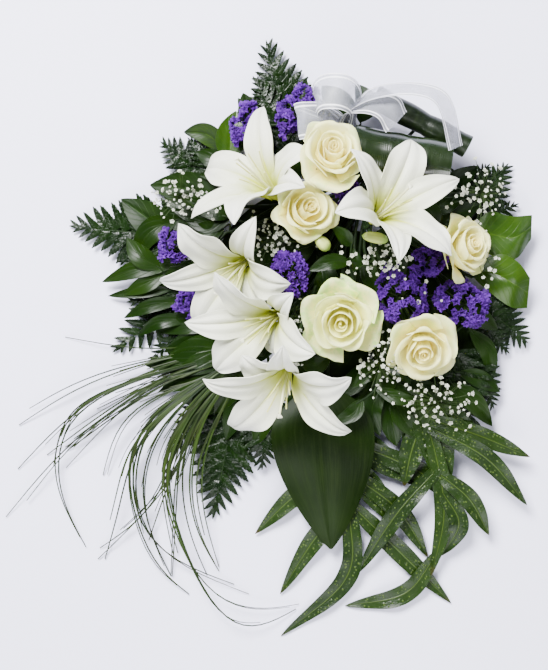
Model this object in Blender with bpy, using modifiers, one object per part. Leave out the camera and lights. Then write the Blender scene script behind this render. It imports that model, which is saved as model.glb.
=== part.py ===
"""A funeral bouquet, hand-tied and laid on its back with the flowers up.

The tie and the cut stems are at the +Y end, and the long foliage trails towards -Y.
White lilies, cream roses, violet statice and gypsophila lie over fern and broad leaves.
The origin is on the surface that it lies on, in the middle of its outline.
"""

import math
import random

import bmesh
import bpy
from mathutils import Matrix, Vector

# Driving sizes, in metres.
MM = 0.001
LEAF_THICKNESS = 0.8 * MM
LEAF_RISE = 1.5 * MM
ROOT_SINK = 0.2 * MM
PETAL_THICKNESS = 1.0 * MM
CLEARANCE = 0.3 * MM
LARGEST_HOLLOW = 15 * MM

LILY_PETAL_LENGTH = 106 * MM
LILY_OUTER_WIDTH = 34 * MM
LILY_INNER_WIDTH = 45 * MM
LILY_FILAMENT_LENGTH = 62 * MM
LILY_NECK = 9 * MM

ROSE_RADIUS = 41 * MM
ROSE_HEIGHT = 46 * MM
ROSE_PETALS = 6
ROSE_NECK = 4 * MM
ROSE_FACET = 40

FERN_RIB_WIDTH = 2.6 * MM
FERN_SLANT = 0.5
# A leaflet's stations: share of its reach, and its half width in steps along the rib.
FERN_LEAFLET = ((0.40, 0.98), (1.0, 0.14))
RIBBON_WIDTH = 40 * MM
RIBBON_THICKNESS = 0.6 * MM
KNOT_RADIUS = 8.4 * MM
KNOT_REACH = 7.85 * MM
KNOT_HOLD = 5 * MM
GRASS_BLADE_RADIUS = 1.4 * MM
GRASS_SHEATH = 16 * MM
GRASS_LIFT = 30
GRASS_LEVEL_STEP = 1.9

STEM_RADIUS = 2.3 * MM
STEM_LEVEL = 20 * MM
STEM_RISE = 14 * MM
LEAST_STEM_LEVEL = 16 * MM
STEM_SPREAD = 150 * MM
BUNDLE_RADIUS = 15 * MM
BUNDLE_LEAD = 20 * MM
TIE_WIDTH = 18 * MM
TIE_START = 7 * MM
TIE_THICKNESS = 1.6 * MM

# The bouquet is laid out on a grid seen from straight above. Places are (column, row, height):
# grid columns and rows from the upper left corner, and millimetres above the surface.
GRID_STEP = 1.1 * MM
GRID_MIDDLE = (274, 335)
GRID_MIDDLE_PLACE = (7.9 * MM, 4.1 * MM)
EYE_HEIGHT = 1860 * MM
GRID_HEIGHT = 60 * MM

TIE_PLACE = (374, 174)
BUNDLE_END_PLACE = (401, 145)

UP = Vector((0, 0, 1))

# Each lily: throat, tilt and heading of its axis, and for each petal its turn about the axis,
# how far it opens (degrees) and its share of the full length.
LILIES = {
    "lily_1": ((276, 195, 50), 45, 137, ((316, 104, 1), (250, 118, 0.76), (196, 108, 0.8),
                                         (129, 86, 1), (85, 96, 1), (21, 122, 0.95))),
    "lily_2": ((248, 259, 62), 40, 226, ((191, 115, 0.95), (132, 106, 0.86), (72, 125, 0.6),
                                         (5, 122, 1), (316, 92, 1), (259, 87, 1))),
    "lily_3": ((279, 314, 78), 37, 213, ((185, 92, 0.7), (133, 96, 0.9), (72, 130, 0.45),
                                         (11, 118, 1), (325, 90, 1), (257, 72, 1))),
    "lily_4": ((289, 366, 98), 42, 255, ((192, 92, 0.9), (238, 104, 0.7), (272, 100, 1),
                                         (326, 120, 1), (78, 104, 1), (128, 104, 1))),
    "lily_5": ((375, 219, 80), 34, 38, ((100, 88, 0.9), (35, 108, 1), (345, 89, 1),
                                        (276, 96, 1), (219, 86, 0.95), (157, 106, 0.95))),
}

# Each rose: middle of the bloom, tilt and heading of its axis, and its size.
ROSES = {
    "rose_1": ((335, 158, 103), 14, 60, 0.90),
    "rose_2": ((303, 213, 86), 16, 20, 0.84),
    "rose_3": ((347, 319, 78), 10, 300, 1.06),
    "rose_4": ((467, 250, 58), 42, 10, 0.88),
    "rose_5": ((428, 350, 66), 30, 290, 0.92),
}

# Each statice sprig: middle, half sizes along and across (mm), heading, and florets.
STATICE = {
    "statice_1": ((296, 110, 42), (23, 12, 11), 60, 11),
    "statice_2": ((247, 125, 31), (20, 10, 8), 70, 9),
    "statice_3": ((174, 246, 36), (13, 11, 10), 100, 7),
    "statice_4": ((192, 300, 34), (12, 10, 10), 100, 7),
    "statice_5": ((289, 275, 66), (20, 16, 12), 300, 11),
    "statice_6": ((343, 190, 60), (15, 9, 10), 60, 8),
    "statice_7": ((400, 298, 60), (32, 21, 13), 290, 16),
    "statice_8": ((427, 262, 60), (14, 10, 10), 20, 7),
    "statice_9": ((463, 304, 52), (26, 18, 12), 340, 14),
}

# Each gypsophila spray: middle of its head, half sizes (mm) and florets.
GYPSOPHILA = {
    "gypsophila_1": ((181, 197, 46), (24, 18, 12), 9),
    "gypsophila_2": ((273, 238, 60), (15, 18, 12), 8),
    "gypsophila_3": ((302, 338, 58), (12, 20, 12), 8),
    "gypsophila_4": ((388, 258, 82), (22, 13, 12), 8),
    "gypsophila_5": ((482, 192, 48), (20, 24, 14), 9),
    "gypsophila_6": ((380, 366, 58), (20, 24, 12), 9),
    "gypsophila_7": ((438, 402, 50), (34, 23, 14), 12),
}

# Each fern frond: points along its rib from the stem to the tip, half width (mm) and pairs of
# leaflets.
FERNS = {
    "fern_1": (((292, 160, 9), (280, 105, 9), (268, 40, 6)), 42, 7),
    "fern_2": (((228, 198, 8), (195, 168, 7), (162, 143, 4)), 34, 7),
    "fern_3": (((190, 236, 8), (130, 232, 9), (70, 226, 4)), 50, 7),
    "fern_4": (((216, 276, 7), (165, 312, 8), (113, 352, 4)), 40, 7),
    "fern_5": (((238, 380, 6), (226, 450, 7), (213, 518, 3)), 54, 8),
    "fern_6": (((268, 392, 22), (264, 430, 19), (262, 470, 10)), 28, 6),
    "fern_7": (((468, 296, 22), (498, 318, 18), (528, 343, 8)), 34, 6),
    "fern_8": (((450, 226, 10), (482, 196, 10), (508, 164, 6)), 34, 7),
    "fern_9": (((456, 352, 26), (466, 400, 22), (470, 452, 12)), 34, 7),
}

# Each broad leaf: points along its midrib, half width (mm), and how far its edges rise (mm).
BROAD_LEAVES = {
    "salal_leaf_1": (((232, 203, 13), (190, 190, 12), (150, 185, 10)), 21, 2),
    "salal_leaf_2": (((182, 244, 11), (150, 220, 13), (121, 199, 8)), 20, 2),
    "salal_leaf_3": (((229, 162, 18), (231, 136, 18), (236, 111, 12)), 14, 3),
    "salal_leaf_4": (((226, 150, 13), (206, 134, 15), (184, 132, 12)), 12, 3),
    "salal_leaf_5": (((262, 148, 3), (252, 120, 3), (243, 93, 2.5)), 14, 0.5),
    "salal_leaf_6": (((240, 350, 9), (208, 348, 10), (170, 343, 7)), 19, 2),
    "salal_leaf_7": (((232, 386, 13), (208, 392, 14), (182, 401, 12)), 15, 1.5),
    "salal_leaf_8": (((478, 243, 28), (506, 236, 32), (531, 228, 24)), 27, 6),
    "salal_leaf_9": (((476, 274, 30), (506, 272, 38), (530, 282, 24)), 27, -6),
}

# Each flat aspidistra leaf: points along its midrib, half width and rise of its edges (mm).
# The back leaves lie on the surface below the blooms, and the long one hangs below them.
ASPIDISTRA_LEAVES = {
    "aspidistra_leaf": (((318, 384, 34), (322, 425, 44), (327, 485, 34), (331, 549, 18)),
                        57.5, -7, (4, 8)),
    "back_leaf_1": (((350, 216, 6), (300, 240, 1), (250, 266, 0.4), (205, 290, 0.4)), 60, 0, (2, 6)),
    "back_leaf_2": (((362, 232, 9), (345, 290, 3), (322, 352, 3), (304, 410, 3)), 60, 0, (2, 6)),
    "back_leaf_3": (((382, 228, 12), (412, 284, 6), (438, 345, 5), (452, 410, 5)), 58, 0, (2, 6)),
}

# Each rolled aspidistra leaf: the two ends of its axis and its radius (mm).
ROLLED_LEAVES = {
    "aspidistra_roll_1": ((353, 147, 61), (450, 170, 61), 25, 21),
    "aspidistra_roll_2": ((374, 97, 49), (468, 147, 49), 14, 13),
}

# Each kangaroo fern frond: its rib, half width (mm), and its lobes, each from rib to tip.
KANGAROO_FERNS = {
    "kangaroo_fern_1": (
        ((418, 398, 30), (436, 456, 27), (444, 516, 20), (431, 576, 14)), 11,
        (((438, 413, 29), (480, 436, 30), (530, 457, 22)),
         ((433, 424, 28), (486, 458, 36), (527, 505, 20)),
         ((443, 475, 25), (470, 500, 29), (489, 535, 17)),
         ((444, 492, 23), (459, 524, 23), (441, 556, 8)),
         ((427, 470, 26), (396, 515, 26), (357, 574, 9)),
         ((438, 556, 14), (404, 594, 8), (345, 606, 2))),
    ),
    "kangaroo_fern_2": (
        ((330, 420, 12), (350, 520, 16), (345, 580, 10), (281, 636, 1)), 11.5,
        (((350, 432, 13), (416, 470, 14), (468, 510, 8)),
         ((352, 465, 14), (396, 508, 15), (428, 557, 5)),
         ((352, 500, 15), (400, 552, 11), (451, 603, 2)),
         ((340, 475, 13), (300, 492, 14), (255, 534, 4)),
         ((349, 515, 15), (318, 535, 14), (280, 594, 3))),
    ),
}

# The bear grass: the middle of its sheath, and points along each blade, from the uppermost
# blade of the fan round to the steepest one.
GRASS_SHEATH_PLACE = (262, 347, 33)
GRASS_BLADES = (
    ((200, 346), (140, 350), (65, 337)),
    ((190, 352), (90, 380), (19, 425)),
    ((185, 358), (85, 400), (18, 469)),
    ((185, 365), (110, 408), (47, 455)),
    ((188, 370), (120, 412), (68, 450)),
    ((185, 368), (80, 430), (6, 517)),
    ((180, 366), (95, 405), (57, 455), (60, 490), (86, 547)),
    ((195, 372), (150, 384), (97, 409)),
    ((205, 378), (160, 412), (103, 475)),
    ((200, 380), (130, 442), (127, 494), (143, 545), (189, 595), (250, 633)),
    ((204, 384), (139, 450), (137, 494), (149, 537), (190, 575), (251, 594)),
    ((210, 392), (178, 470), (98, 559)),
    ((206, 388), (166, 485), (170, 528), (208, 592), (250, 597)),
    ((212, 394), (177, 481), (179, 528), (207, 575)),
    ((216, 396), (186, 476), (187, 519), (219, 571)),
    ((218, 398), (190, 470), (150, 541)),
    ((226, 402), (202, 457), (202, 502), (220, 569)),
)

# Each ruscus sprig: its stem, and its leaves, each from the stem to its tip, with half width (mm).
RUSCUS = {
    "ruscus_1": (
        ((352, 278, 60), (350, 262, 64), (352, 240, 68)),
        (((350, 262, 64), (330, 262, 70), (308, 271, 66), 9),
         ((352, 246, 67), (344, 236, 74), (332, 226, 76), 8),
         ((352, 270, 62), (357, 262, 68), (353, 248, 65), 6)),
    ),
    "ruscus_2": (
        ((388, 356, 38), (376, 388, 46), (356, 404, 54)),
        (((384, 372, 42), (368, 374, 50), (352, 388, 47), 9),
         ((362, 400, 51), (352, 414, 56), (330, 424, 54), 9),
         ((376, 388, 46), (398, 398, 52), (418, 400, 50), 8),
         ((386, 366, 40), (402, 372, 47), (410, 384, 46), 7)),
    ),
}

# Each lily bud: its ends and its radius (mm).
BUDS = {
    "bud_1": ((386, 240, 104), (364, 236, 108), 6),
    "bud_2": ((328, 249, 73), (317, 238, 75), 7),
}

# The ribbon: points along each of its loops after the knot, and whether the loop closes there.
RIBBON_LOOPS = (
    (((352, 130, 44), (356, 104, 74), (344, 92, 96), (322, 92, 90), (316, 104, 68),
      (336, 122, 44)), True),
    (((346, 130, 46), (326, 120, 72), (306, 120, 84), (297, 122, 76), (306, 124, 66),
      (336, 134, 42)), True),
    (((348, 126, 40), (354, 106, 62), (370, 102, 86), (388, 108, 98), (397, 122, 92)), False),
    (((346, 122, 44), (364, 98, 78), (400, 88, 92), (434, 94, 100), (449, 114, 98),
      (456, 148, 92)), False),
)

# Stems that leave another stem before the tie, as the branches of one plant do.
BRANCHES = {
    "statice_2": "statice_1", "statice_4": "statice_3", "statice_6": "statice_5",
    "statice_8": "statice_7", "statice_9": "statice_7",
    "gypsophila_1": "gypsophila_2", "gypsophila_3": "gypsophila_6", "gypsophila_4": "gypsophila_6",
    "gypsophila_7": "gypsophila_6",
    "salal_leaf_2": "salal_leaf_1", "salal_leaf_3": "salal_leaf_5", "salal_leaf_4": "salal_leaf_5",
    "salal_leaf_7": "salal_leaf_6", "salal_leaf_8": "salal_leaf_9",
    "bud_1": "lily_5", "bud_2": "ruscus_1", "fern_4": "fern_3", "fern_6": "fern_5",
    "fern_9": "fern_7",
}

COLOURS = {
    "lily_white": (0.86, 0.86, 0.80),
    "rose_cream": (0.85, 0.80, 0.58),
    "statice_violet": (0.11, 0.035, 0.38),
    "gypsophila_white": (0.80, 0.82, 0.76),
    "fern_green": (0.022, 0.060, 0.022),
    "leaf_green": (0.030, 0.095, 0.018),
    "aspidistra_green": (0.014, 0.050, 0.016),
    "kangaroo_green": (0.040, 0.110, 0.030),
    "grass_green": (0.080, 0.130, 0.030),
    "bud_green": (0.55, 0.62, 0.26),
    "ribbon_white": (0.80, 0.80, 0.80),
    "stem_green": (0.040, 0.090, 0.025),
    "tie_green": (0.050, 0.110, 0.050),
}


def start_scene():
    """Empties the scene and gives it the bouquet's collection."""
    for obj in list(bpy.data.objects):
        bpy.data.objects.remove(obj, do_unlink=True)
    collection = bpy.data.collections.new("Funeral bouquet")
    bpy.context.scene.collection.children.link(collection)
    return collection


BOUQUET = start_scene()


def place(column, row, height=0.0):
    """The point that the grid shows at this column and row, at a height in millimetres."""
    spread = (EYE_HEIGHT - height * MM) / (EYE_HEIGHT - GRID_HEIGHT) * GRID_STEP
    return Vector((
        GRID_MIDDLE_PLACE[0] + (column - GRID_MIDDLE[0]) * spread,
        GRID_MIDDLE_PLACE[1] + (GRID_MIDDLE[1] - row) * spread,
        height * MM,
    ))


def places(points):
    return [place(*point) for point in points]


def direction(tilt, heading):
    """The unit vector that leans tilt degrees from the vertical towards a heading."""
    lean, turn = math.radians(tilt), math.radians(heading)
    return Vector((math.sin(lean) * math.cos(turn), math.sin(lean) * math.sin(turn), math.cos(lean)))


def bloom_matrix(origin, tilt, heading):
    """A frame whose +Z is the bloom's axis and whose +X is the side that the axis leans to."""
    axis = direction(tilt, heading)
    side = direction(tilt + 90, heading)
    turned = Matrix((side, axis.cross(side), axis)).transposed()
    return Matrix.Translation(origin) @ turned.to_4x4()


def curve_point(points, t):
    """The point at t, from 0 to 1, on a smooth curve through the points."""
    count = len(points) - 1
    step = min(int(t * count), count - 1)
    part = t * count - step
    a, b = points[step], points[step + 1]
    before = points[step - 1] if step else a + (a - b)
    after = points[step + 2] if step + 2 <= count else b + (b - a)
    return 0.5 * (
        2 * a
        + (b - before) * part
        + (2 * before - 5 * a + 4 * b - after) * part**2
        + (3 * a - before - 3 * b + after) * part**3
    )


def curve_frame(points, t, up=UP):
    """The point, sideways direction and face direction of a leaf that runs along the curve."""
    ahead = curve_point(points, min(t + 0.01, 1)) - curve_point(points, max(t - 0.01, 0))
    ahead.normalize()
    side = ahead.cross(up).normalized()
    return curve_point(points, t), side, side.cross(ahead)


def new_object(name, bm):
    mesh = bpy.data.meshes.new(name)
    bm.to_mesh(mesh)
    bm.free()
    obj = bpy.data.objects.new(name, mesh)
    BOUQUET.objects.link(obj)
    return obj


def thin_solid(name, bm, thickness):
    """Gives an open surface its thickness, with both faces split into the same triangles."""
    bmesh.ops.triangulate(bm, faces=bm.faces[:])
    obj = new_object(name, bm)
    solidify = obj.modifiers.new("Thickness", "SOLIDIFY")
    solidify.thickness = thickness
    solidify.offset = 0
    return obj


def sheet(name, surface, cells, thickness):
    """A thin body whose middle is surface(across, along), across from -1 to 1, along from 0 to 1."""
    bm = bmesh.new()
    bmesh.ops.create_grid(bm, x_segments=cells[0], y_segments=cells[1], size=1)
    for vert in bm.verts:
        vert.co = surface(vert.co.x, (vert.co.y + 1) / 2)
    return thin_solid(name, bm, thickness)


def rooted(points, rib):
    """The points of a lobe or leaflet, with its root moved on to the rib that carries it."""
    samples = [curve_point(rib, step / 80) for step in range(81)]
    root = min(samples, key=lambda sample: (sample.xy - points[0].xy).length)
    return [root - UP * ROOT_SINK, *points[1:]]


def leaf_outline(along, fullest=0.45, tip=0.06, base=0.12, swelling=0.8):
    """Share of a pointed leaf's half width at a place along it."""
    if along < fullest:
        swell = math.sin(0.5 * math.pi * along / fullest)
        return base + (1 - base) * swell**swelling
    narrow = math.cos(0.5 * math.pi * (along - fullest) / (1 - fullest))
    return tip + (1 - tip) * narrow**0.85


def leaf(name, points, half_width, rise, cells=(2, 4), fullest=0.45, waves=0.0):
    """A leaf along its midrib, with edges raised by rise and waved a little."""
    def surface(across, along):
        middle, side, face = curve_frame(points, along)
        width = half_width * leaf_outline(along, fullest)
        wave = 0.25 * rise * math.sin(waves * math.tau * along + across)
        shape = math.sin(math.pi * along) ** 0.5 if 0 < along < 1 else 0
        return middle + side * across * width + face * (rise * across**2 + wave * abs(across)) * shape
    return sheet(name, surface, cells, LEAF_THICKNESS)


def new_profile():
    """A unit triangle, which curves take as the section of a thin stem or blade."""
    curve = bpy.data.curves.new("Profile", "CURVE")
    spline = curve.splines.new("POLY")
    spline.points.add(2)
    for index, point in enumerate(spline.points):
        turn = math.radians(90 + 120 * index)
        point.co = (math.cos(turn), math.sin(turn), 0, 1)
    spline.use_cyclic_u = True
    profile = bpy.data.objects.new("Profile", curve)
    profile.hide_render = True
    profile.display_type = "WIRE"
    BOUQUET.objects.link(profile)
    return profile


PROFILE = new_profile()


def tube(name, points, radius, steps=0, shares=(1, 1)):
    """A three-sided closed tube through the points, or along a smooth curve in steps.

    shares are the radius at each point, or at the two ends, as shares of the full one.
    """
    curve = bpy.data.curves.new(name, "CURVE")
    curve.dimensions = "3D"
    curve.bevel_mode = "OBJECT"
    curve.bevel_object = PROFILE
    curve.use_fill_caps = True
    run = [curve_point(points, step / steps) for step in range(steps + 1)] if steps else points
    last = len(run) - 1
    if len(shares) < len(run):
        shares = [shares[0] + (shares[1] - shares[0]) * index / last for index in range(last + 1)]
    spline = curve.splines.new("POLY")
    spline.points.add(last)
    for index, point in enumerate(run):
        spline.points[index].co = (*point, 1)
        spline.points[index].radius = radius * shares[index]
    guide = bpy.data.objects.new(name, curve)
    BOUQUET.objects.link(guide)
    graph = bpy.context.evaluated_depsgraph_get()
    mesh = bpy.data.meshes.new_from_object(guide.evaluated_get(graph))
    bpy.data.objects.remove(guide)
    bpy.data.curves.remove(curve)
    bm = bmesh.new()
    bm.from_mesh(mesh)
    bpy.data.meshes.remove(mesh)
    bmesh.ops.remove_doubles(bm, verts=bm.verts[:], dist=0.001 * MM)
    bmesh.ops.recalc_face_normals(bm, faces=bm.faces[:])
    return new_object(name, bm)


def apply_modifiers(obj):
    graph = bpy.context.evaluated_depsgraph_get()
    mesh = bpy.data.meshes.new_from_object(obj.evaluated_get(graph))
    obj.modifiers.clear()
    obj.data = mesh


def fill_hollows(obj):
    """Drops the small shells that a union leaves: sealed hollows become solid, and scraps go."""
    bm = bmesh.new()
    bm.from_mesh(obj.data)
    waiting = set(bm.verts)
    while waiting:
        shell = set()
        edge_of_shell = {next(iter(waiting))}
        while edge_of_shell:
            shell |= edge_of_shell
            edge_of_shell = {edge.other_vert(vert) for vert in edge_of_shell
                             for edge in vert.link_edges} - shell
        waiting -= shell
        low = [min(vert.co[axis] for vert in shell) for axis in range(3)]
        high = [max(vert.co[axis] for vert in shell) for axis in range(3)]
        if (Vector(high) - Vector(low)).length < LARGEST_HOLLOW:
            bmesh.ops.delete(bm, geom=list(shell), context="VERTS")
    bm.to_mesh(obj.data)
    bm.free()


def fuse(name, pieces):
    """Joins pieces that overlap into one closed body called name."""
    first, *others = pieces
    first.name = name
    if others:
        joined = bpy.data.collections.new("Joined")
        bpy.context.scene.collection.children.link(joined)
        for other in others:
            joined.objects.link(other)
            BOUQUET.objects.unlink(other)
        union = first.modifiers.new("Union", "BOOLEAN")
        union.operation = "UNION"
        union.operand_type = "COLLECTION"
        union.collection = joined
        union.solver = "EXACT"
        apply_modifiers(first)
        for other in others:
            bpy.data.objects.remove(other)
        bpy.data.collections.remove(joined)
        fill_hollows(first)
    return first


def paint(obj, colour, roughness):
    """Gives the object a plain material of its own."""
    material = bpy.data.materials.new(obj.name)
    material.use_nodes = True
    shader = material.node_tree.nodes["Principled BSDF"]
    shader.inputs["Base Color"].default_value = (*COLOURS[colour], 1)
    shader.inputs["Roughness"].default_value = roughness
    shader.inputs["Metallic"].default_value = 0.0
    obj.data.materials.clear()
    obj.data.materials.append(material)
    obj.data.shade_smooth()
    obj.data.set_sharp_from_angle(angle=math.radians(35))


def lily_petal(name, turn, opening, length, width, ring, rows):
    """A petal that wraps round the throat, then opens, bends back and narrows to its tip."""
    start = math.radians(16)
    bend = math.radians(opening) - start
    pieces = 24
    spine = [Vector((ring, 0, 0))]
    for piece in range(pieces):
        angle = start + bend * ((piece + 0.5) / pieces) ** 1.2
        spine.append(spine[-1] + Vector((math.sin(angle), 0, math.cos(angle))) * length / pieces)

    def surface(across, along):
        angle = start + bend * along**1.2
        middle = spine[round(along * pieces)]
        face = Vector((-math.cos(angle), 0, math.sin(angle)))
        half = 0.5 * width * leaf_outline(along, fullest=0.6, tip=0.12, base=0.12, swelling=1.3)
        cupped = face * 0.22 * half * (1 - 1.3 * along) * across**2
        spread = middle + Vector((0, across * half, 0)) + cupped
        wrap = across * half / middle.x
        wound = Vector((middle.x * math.cos(wrap), middle.x * math.sin(wrap), middle.z))
        point = spread.lerp(wound, max(0.0, 1 - along / 0.5))
        return Matrix.Rotation(math.radians(turn), 3, "Z") @ point

    return sheet(name, surface, (2, rows), PETAL_THICKNESS)


def lily(name, throat, tilt, heading, petals):
    """Six petals in two rings of three, six filaments and a pistil, on a short neck."""
    bm = bmesh.new()
    bmesh.ops.create_cone(bm, cap_ends=True, segments=6, radius1=2.5 * MM, radius2=9 * MM,
                          depth=LILY_NECK + 3 * MM,
                          matrix=Matrix.Translation(UP * 0.5 * (3 * MM - LILY_NECK)))
    pieces = [new_object("Neck", bm)]
    for index, (turn, opening, share) in enumerate(petals):
        inner = index % 2
        width = LILY_INNER_WIDTH if inner else LILY_OUTER_WIDTH
        ring = 5.0 * MM if inner else 7.5 * MM
        pieces.append(lily_petal(
            "Petal", turn, opening, LILY_PETAL_LENGTH * share, width, ring, rows=3 + inner))
    for index in range(6):
        turn = math.radians(60 * index + 28)
        out = Vector((math.cos(turn), math.sin(turn), 0))
        lean = 0.16 * LILY_FILAMENT_LENGTH
        route = [out * 3.2 * MM + UP * 1 * MM, out * lean + UP * LILY_FILAMENT_LENGTH]
        pieces.append(tube("Filament", route, 0.9 * MM))
    pistil = [UP * 1 * MM, UP * LILY_FILAMENT_LENGTH * 1.2]
    pieces.append(tube("Pistil", pistil, 1.3 * MM))
    bloom = fuse(name, pieces)
    bloom.data.transform(bloom_matrix(place(*throat), tilt, heading))
    paint(bloom, "lily_white", 0.5)
    axis = direction(tilt, heading)
    return place(*throat) - axis * LILY_NECK, -axis


def rose_petal(name, turn, foot, radius, height, curl):
    """A cupped petal round the axis, whose rim rolls outwards by curl."""
    def surface(across, along):
        along = along**0.7
        rim = max(0.0, along - 0.5) / 0.5
        belly = math.sin(0.5 * math.pi * min(1.0, along / 0.6))
        out = foot + (radius - foot) * belly + curl * rim**2
        angle = math.radians(turn + 1.5 * ROSE_FACET * across)
        rise = MM + height * along * (1 - 0.16 * across**4) - 0.25 * curl * rim**2
        return Vector((out * math.cos(angle), out * math.sin(angle), rise))

    return sheet(name, surface, (3, 2), PETAL_THICKNESS)


def rose(name, middle, tilt, heading, size):
    """A coiled heart inside rings of petals that open outwards."""
    radius, height = ROSE_RADIUS * size, ROSE_HEIGHT * size
    bm = bmesh.new()
    bmesh.ops.create_cone(bm, cap_ends=True, segments=6, radius1=0.20 * radius, radius2=0.12 * radius,
                          depth=height * 0.96, matrix=Matrix.Translation(UP * height * 0.48))
    pieces = [new_object("Heart", bm)]
    bm = bmesh.new()
    bmesh.ops.create_cone(bm, cap_ends=True, segments=8, radius1=3.5 * MM, radius2=0.50 * radius,
                          depth=ROSE_NECK + 6 * MM,
                          matrix=Matrix.Translation(UP * 0.5 * (6 * MM - ROSE_NECK)))
    pieces.append(new_object("Receptacle", bm))
    for index in range(ROSE_PETALS):
        share = index / (ROSE_PETALS - 1)
        pieces.append(rose_petal(
            "Petal",
            turn=round(index * 137.5 / ROSE_FACET) * ROSE_FACET,
            foot=radius * (0.13 + 0.24 * share),
            radius=radius * (0.32 + 0.48 * share),
            height=height * (1.02 - 0.16 * share**1.5),
            curl=radius * (0.03 + 0.24 * share),
        ))
    bloom = fuse(name, pieces)
    axis = direction(tilt, heading)
    base = place(*middle) - axis * height * 0.6
    bloom.data.transform(bloom_matrix(base, tilt, heading))
    paint(bloom, "rose_cream", 0.55)
    return base - axis * ROSE_NECK, -axis


def statice(name, middle, sizes, heading, florets):
    """Papery funnel florets all over a slim core."""
    draw = random.Random(name)
    bm = bmesh.new()
    bmesh.ops.create_icosphere(bm, subdivisions=1, radius=1)
    bmesh.ops.scale(bm, vec=[0.72 * size * MM for size in sizes], verts=bm.verts[:])
    pieces = [new_object("Core", bm)]
    for index in range(florets):
        upper = 1 - 1.5 * (index + 0.5) / florets
        ring = math.sqrt(max(0.0, 1 - upper * upper))
        turn = index * 2.4 + draw.uniform(-0.2, 0.2)
        out = Vector((ring * math.cos(turn), ring * math.sin(turn), upper))
        spot = Vector([out[axis] * sizes[axis] * MM * 0.62 for axis in range(3)])
        aim = Vector([out[axis] / sizes[axis] for axis in range(3)]).normalized()
        aim = (aim + Vector((draw.uniform(-0.25, 0.25), draw.uniform(-0.25, 0.25), 0.1))).normalized()
        bm = bmesh.new()
        turned = Matrix.Translation(spot) @ aim.to_track_quat("Z", "Y").to_matrix().to_4x4()
        bmesh.ops.create_cone(bm, cap_ends=True, segments=3, radius1=1.4 * MM,
                              radius2=draw.uniform(5.6, 7.0) * MM, depth=11 * MM,
                              matrix=turned @ Matrix.Translation(UP * 3.5 * MM))
        pieces.append(new_object("Floret", bm))
    stub = [UP * -sizes[2] * MM * 1.25, UP * 0]
    pieces.append(tube("Stub", stub, 1.8 * MM))
    sprig = fuse(name, pieces)
    sprig.data.transform(
        Matrix.Translation(place(*middle)) @ Matrix.Rotation(math.radians(heading), 4, "Z"))
    paint(sprig, "statice_violet", 0.7)
    return place(*middle) + stub[0], -UP


def gypsophila(name, middle, sizes, florets):
    """Small round florets on thin branches that leave one stalk."""
    draw = random.Random(name)
    foot = Vector((0, 0, -1.3 * sizes[2] * MM))
    pieces = [tube("Stalk", [foot, Vector((0, 0, 0.1 * sizes[2] * MM))], 1.4 * MM)]
    for index in range(florets):
        ring = math.sqrt((index + 0.7) / florets)
        turn = index * 2.4
        tip = Vector((
            sizes[0] * ring * math.cos(turn),
            sizes[1] * ring * math.sin(turn),
            sizes[2] * draw.uniform(0.1, 1.0),
        )) * MM
        start = foot.lerp(Vector((0, 0, 0)), draw.uniform(0.35, 0.95))
        cup = tip.lerp(start, 3.2 * MM / (tip - start).length)
        pieces.append(tube("Floret", [start, cup, tip], 3.0 * MM, shares=(0.2, 0.2, 1)))
    spray = fuse(name, pieces)
    spray.data.transform(Matrix.Translation(place(*middle)))
    paint(spray, "gypsophila_white", 0.6)
    return place(*middle) + foot, -UP


def fern_half_width(along, half_width):
    """A leatherleaf frond is widest near its foot and runs evenly to its tip."""
    return half_width * (0.06 + 0.94 * (1 - along) ** 0.75) * min(1.0, 0.6 + 2.5 * along)


def fern(name, points, half_width, pairs):
    """A rib with slanting leaflets in pairs, all cut from one thin arched blade."""
    run = places(points)
    half_width *= MM
    cells = 2 * pairs + 1
    length = sum((run[i + 1] - run[i]).length for i in range(len(run) - 1))
    pitch = length / cells
    bm = bmesh.new()
    bmesh.ops.create_grid(bm, x_segments=1, y_segments=cells, size=1)

    def on_blade(across, ahead):
        """The place this far across and ahead (metres) on the arched blade."""
        middle, side, face = curve_frame(run, min(max(ahead / length, 0.0), 1.0))
        over = max(0.0, ahead - length)
        droop = -0.10 * abs(across) ** 1.5 / half_width**0.5
        return middle + side * across + face * droop + face.cross(side) * over

    def rib_half(along):
        return FERN_RIB_WIDTH / 2 * (1 - 0.6 * along)

    margins = [edge for edge in bm.edges if edge.is_boundary
               and abs(edge.verts[0].co.y - edge.verts[1].co.y) > 0.5 / cells]
    for vert in bm.verts:
        along = (vert.co.y + 1) / 2
        vert.co = (math.copysign(rib_half(along), vert.co.x), along * length, 0)
    for edge in margins:
        middle = (edge.verts[0].co + edge.verts[1].co) / 2
        step = round(middle.y / pitch - 0.5)
        if step % 2 == 0:
            continue
        along = middle.y / length
        reach = fern_half_width(along, half_width) - abs(middle.x)
        narrow = pitch * (0.85 + 0.15 * (1 - along))
        for out, spread in FERN_LEAFLET:
            made = bmesh.ops.extrude_edge_only(bm, edges=[edge])["geom"]
            edge = next(item for item in made if isinstance(item, bmesh.types.BMEdge))
            ends = sorted(edge.verts, key=lambda vert: vert.co.y)
            across = middle.x + math.copysign(reach * out, middle.x)
            ahead = middle.y + FERN_SLANT * reach * out
            for vert, way in zip(ends, (-1, 1)):
                vert.co = (across, ahead + way * spread * narrow, 0)
    for vert in bm.verts:
        vert.co = on_blade(vert.co.x, vert.co.y)
    frond = thin_solid(name, bm, LEAF_THICKNESS)
    apply_modifiers(frond)
    paint(frond, "fern_green", 0.5)
    return run[0], (run[0] - run[1]).normalized()


def broad_leaf(name, points, half_width, rise):
    run = places(points)
    blade = leaf(name, run, half_width * MM, rise * MM, waves=1.5)
    apply_modifiers(blade)
    paint(blade, "leaf_green", 0.45)
    return run[0], (run[0] - run[1]).normalized()


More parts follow.
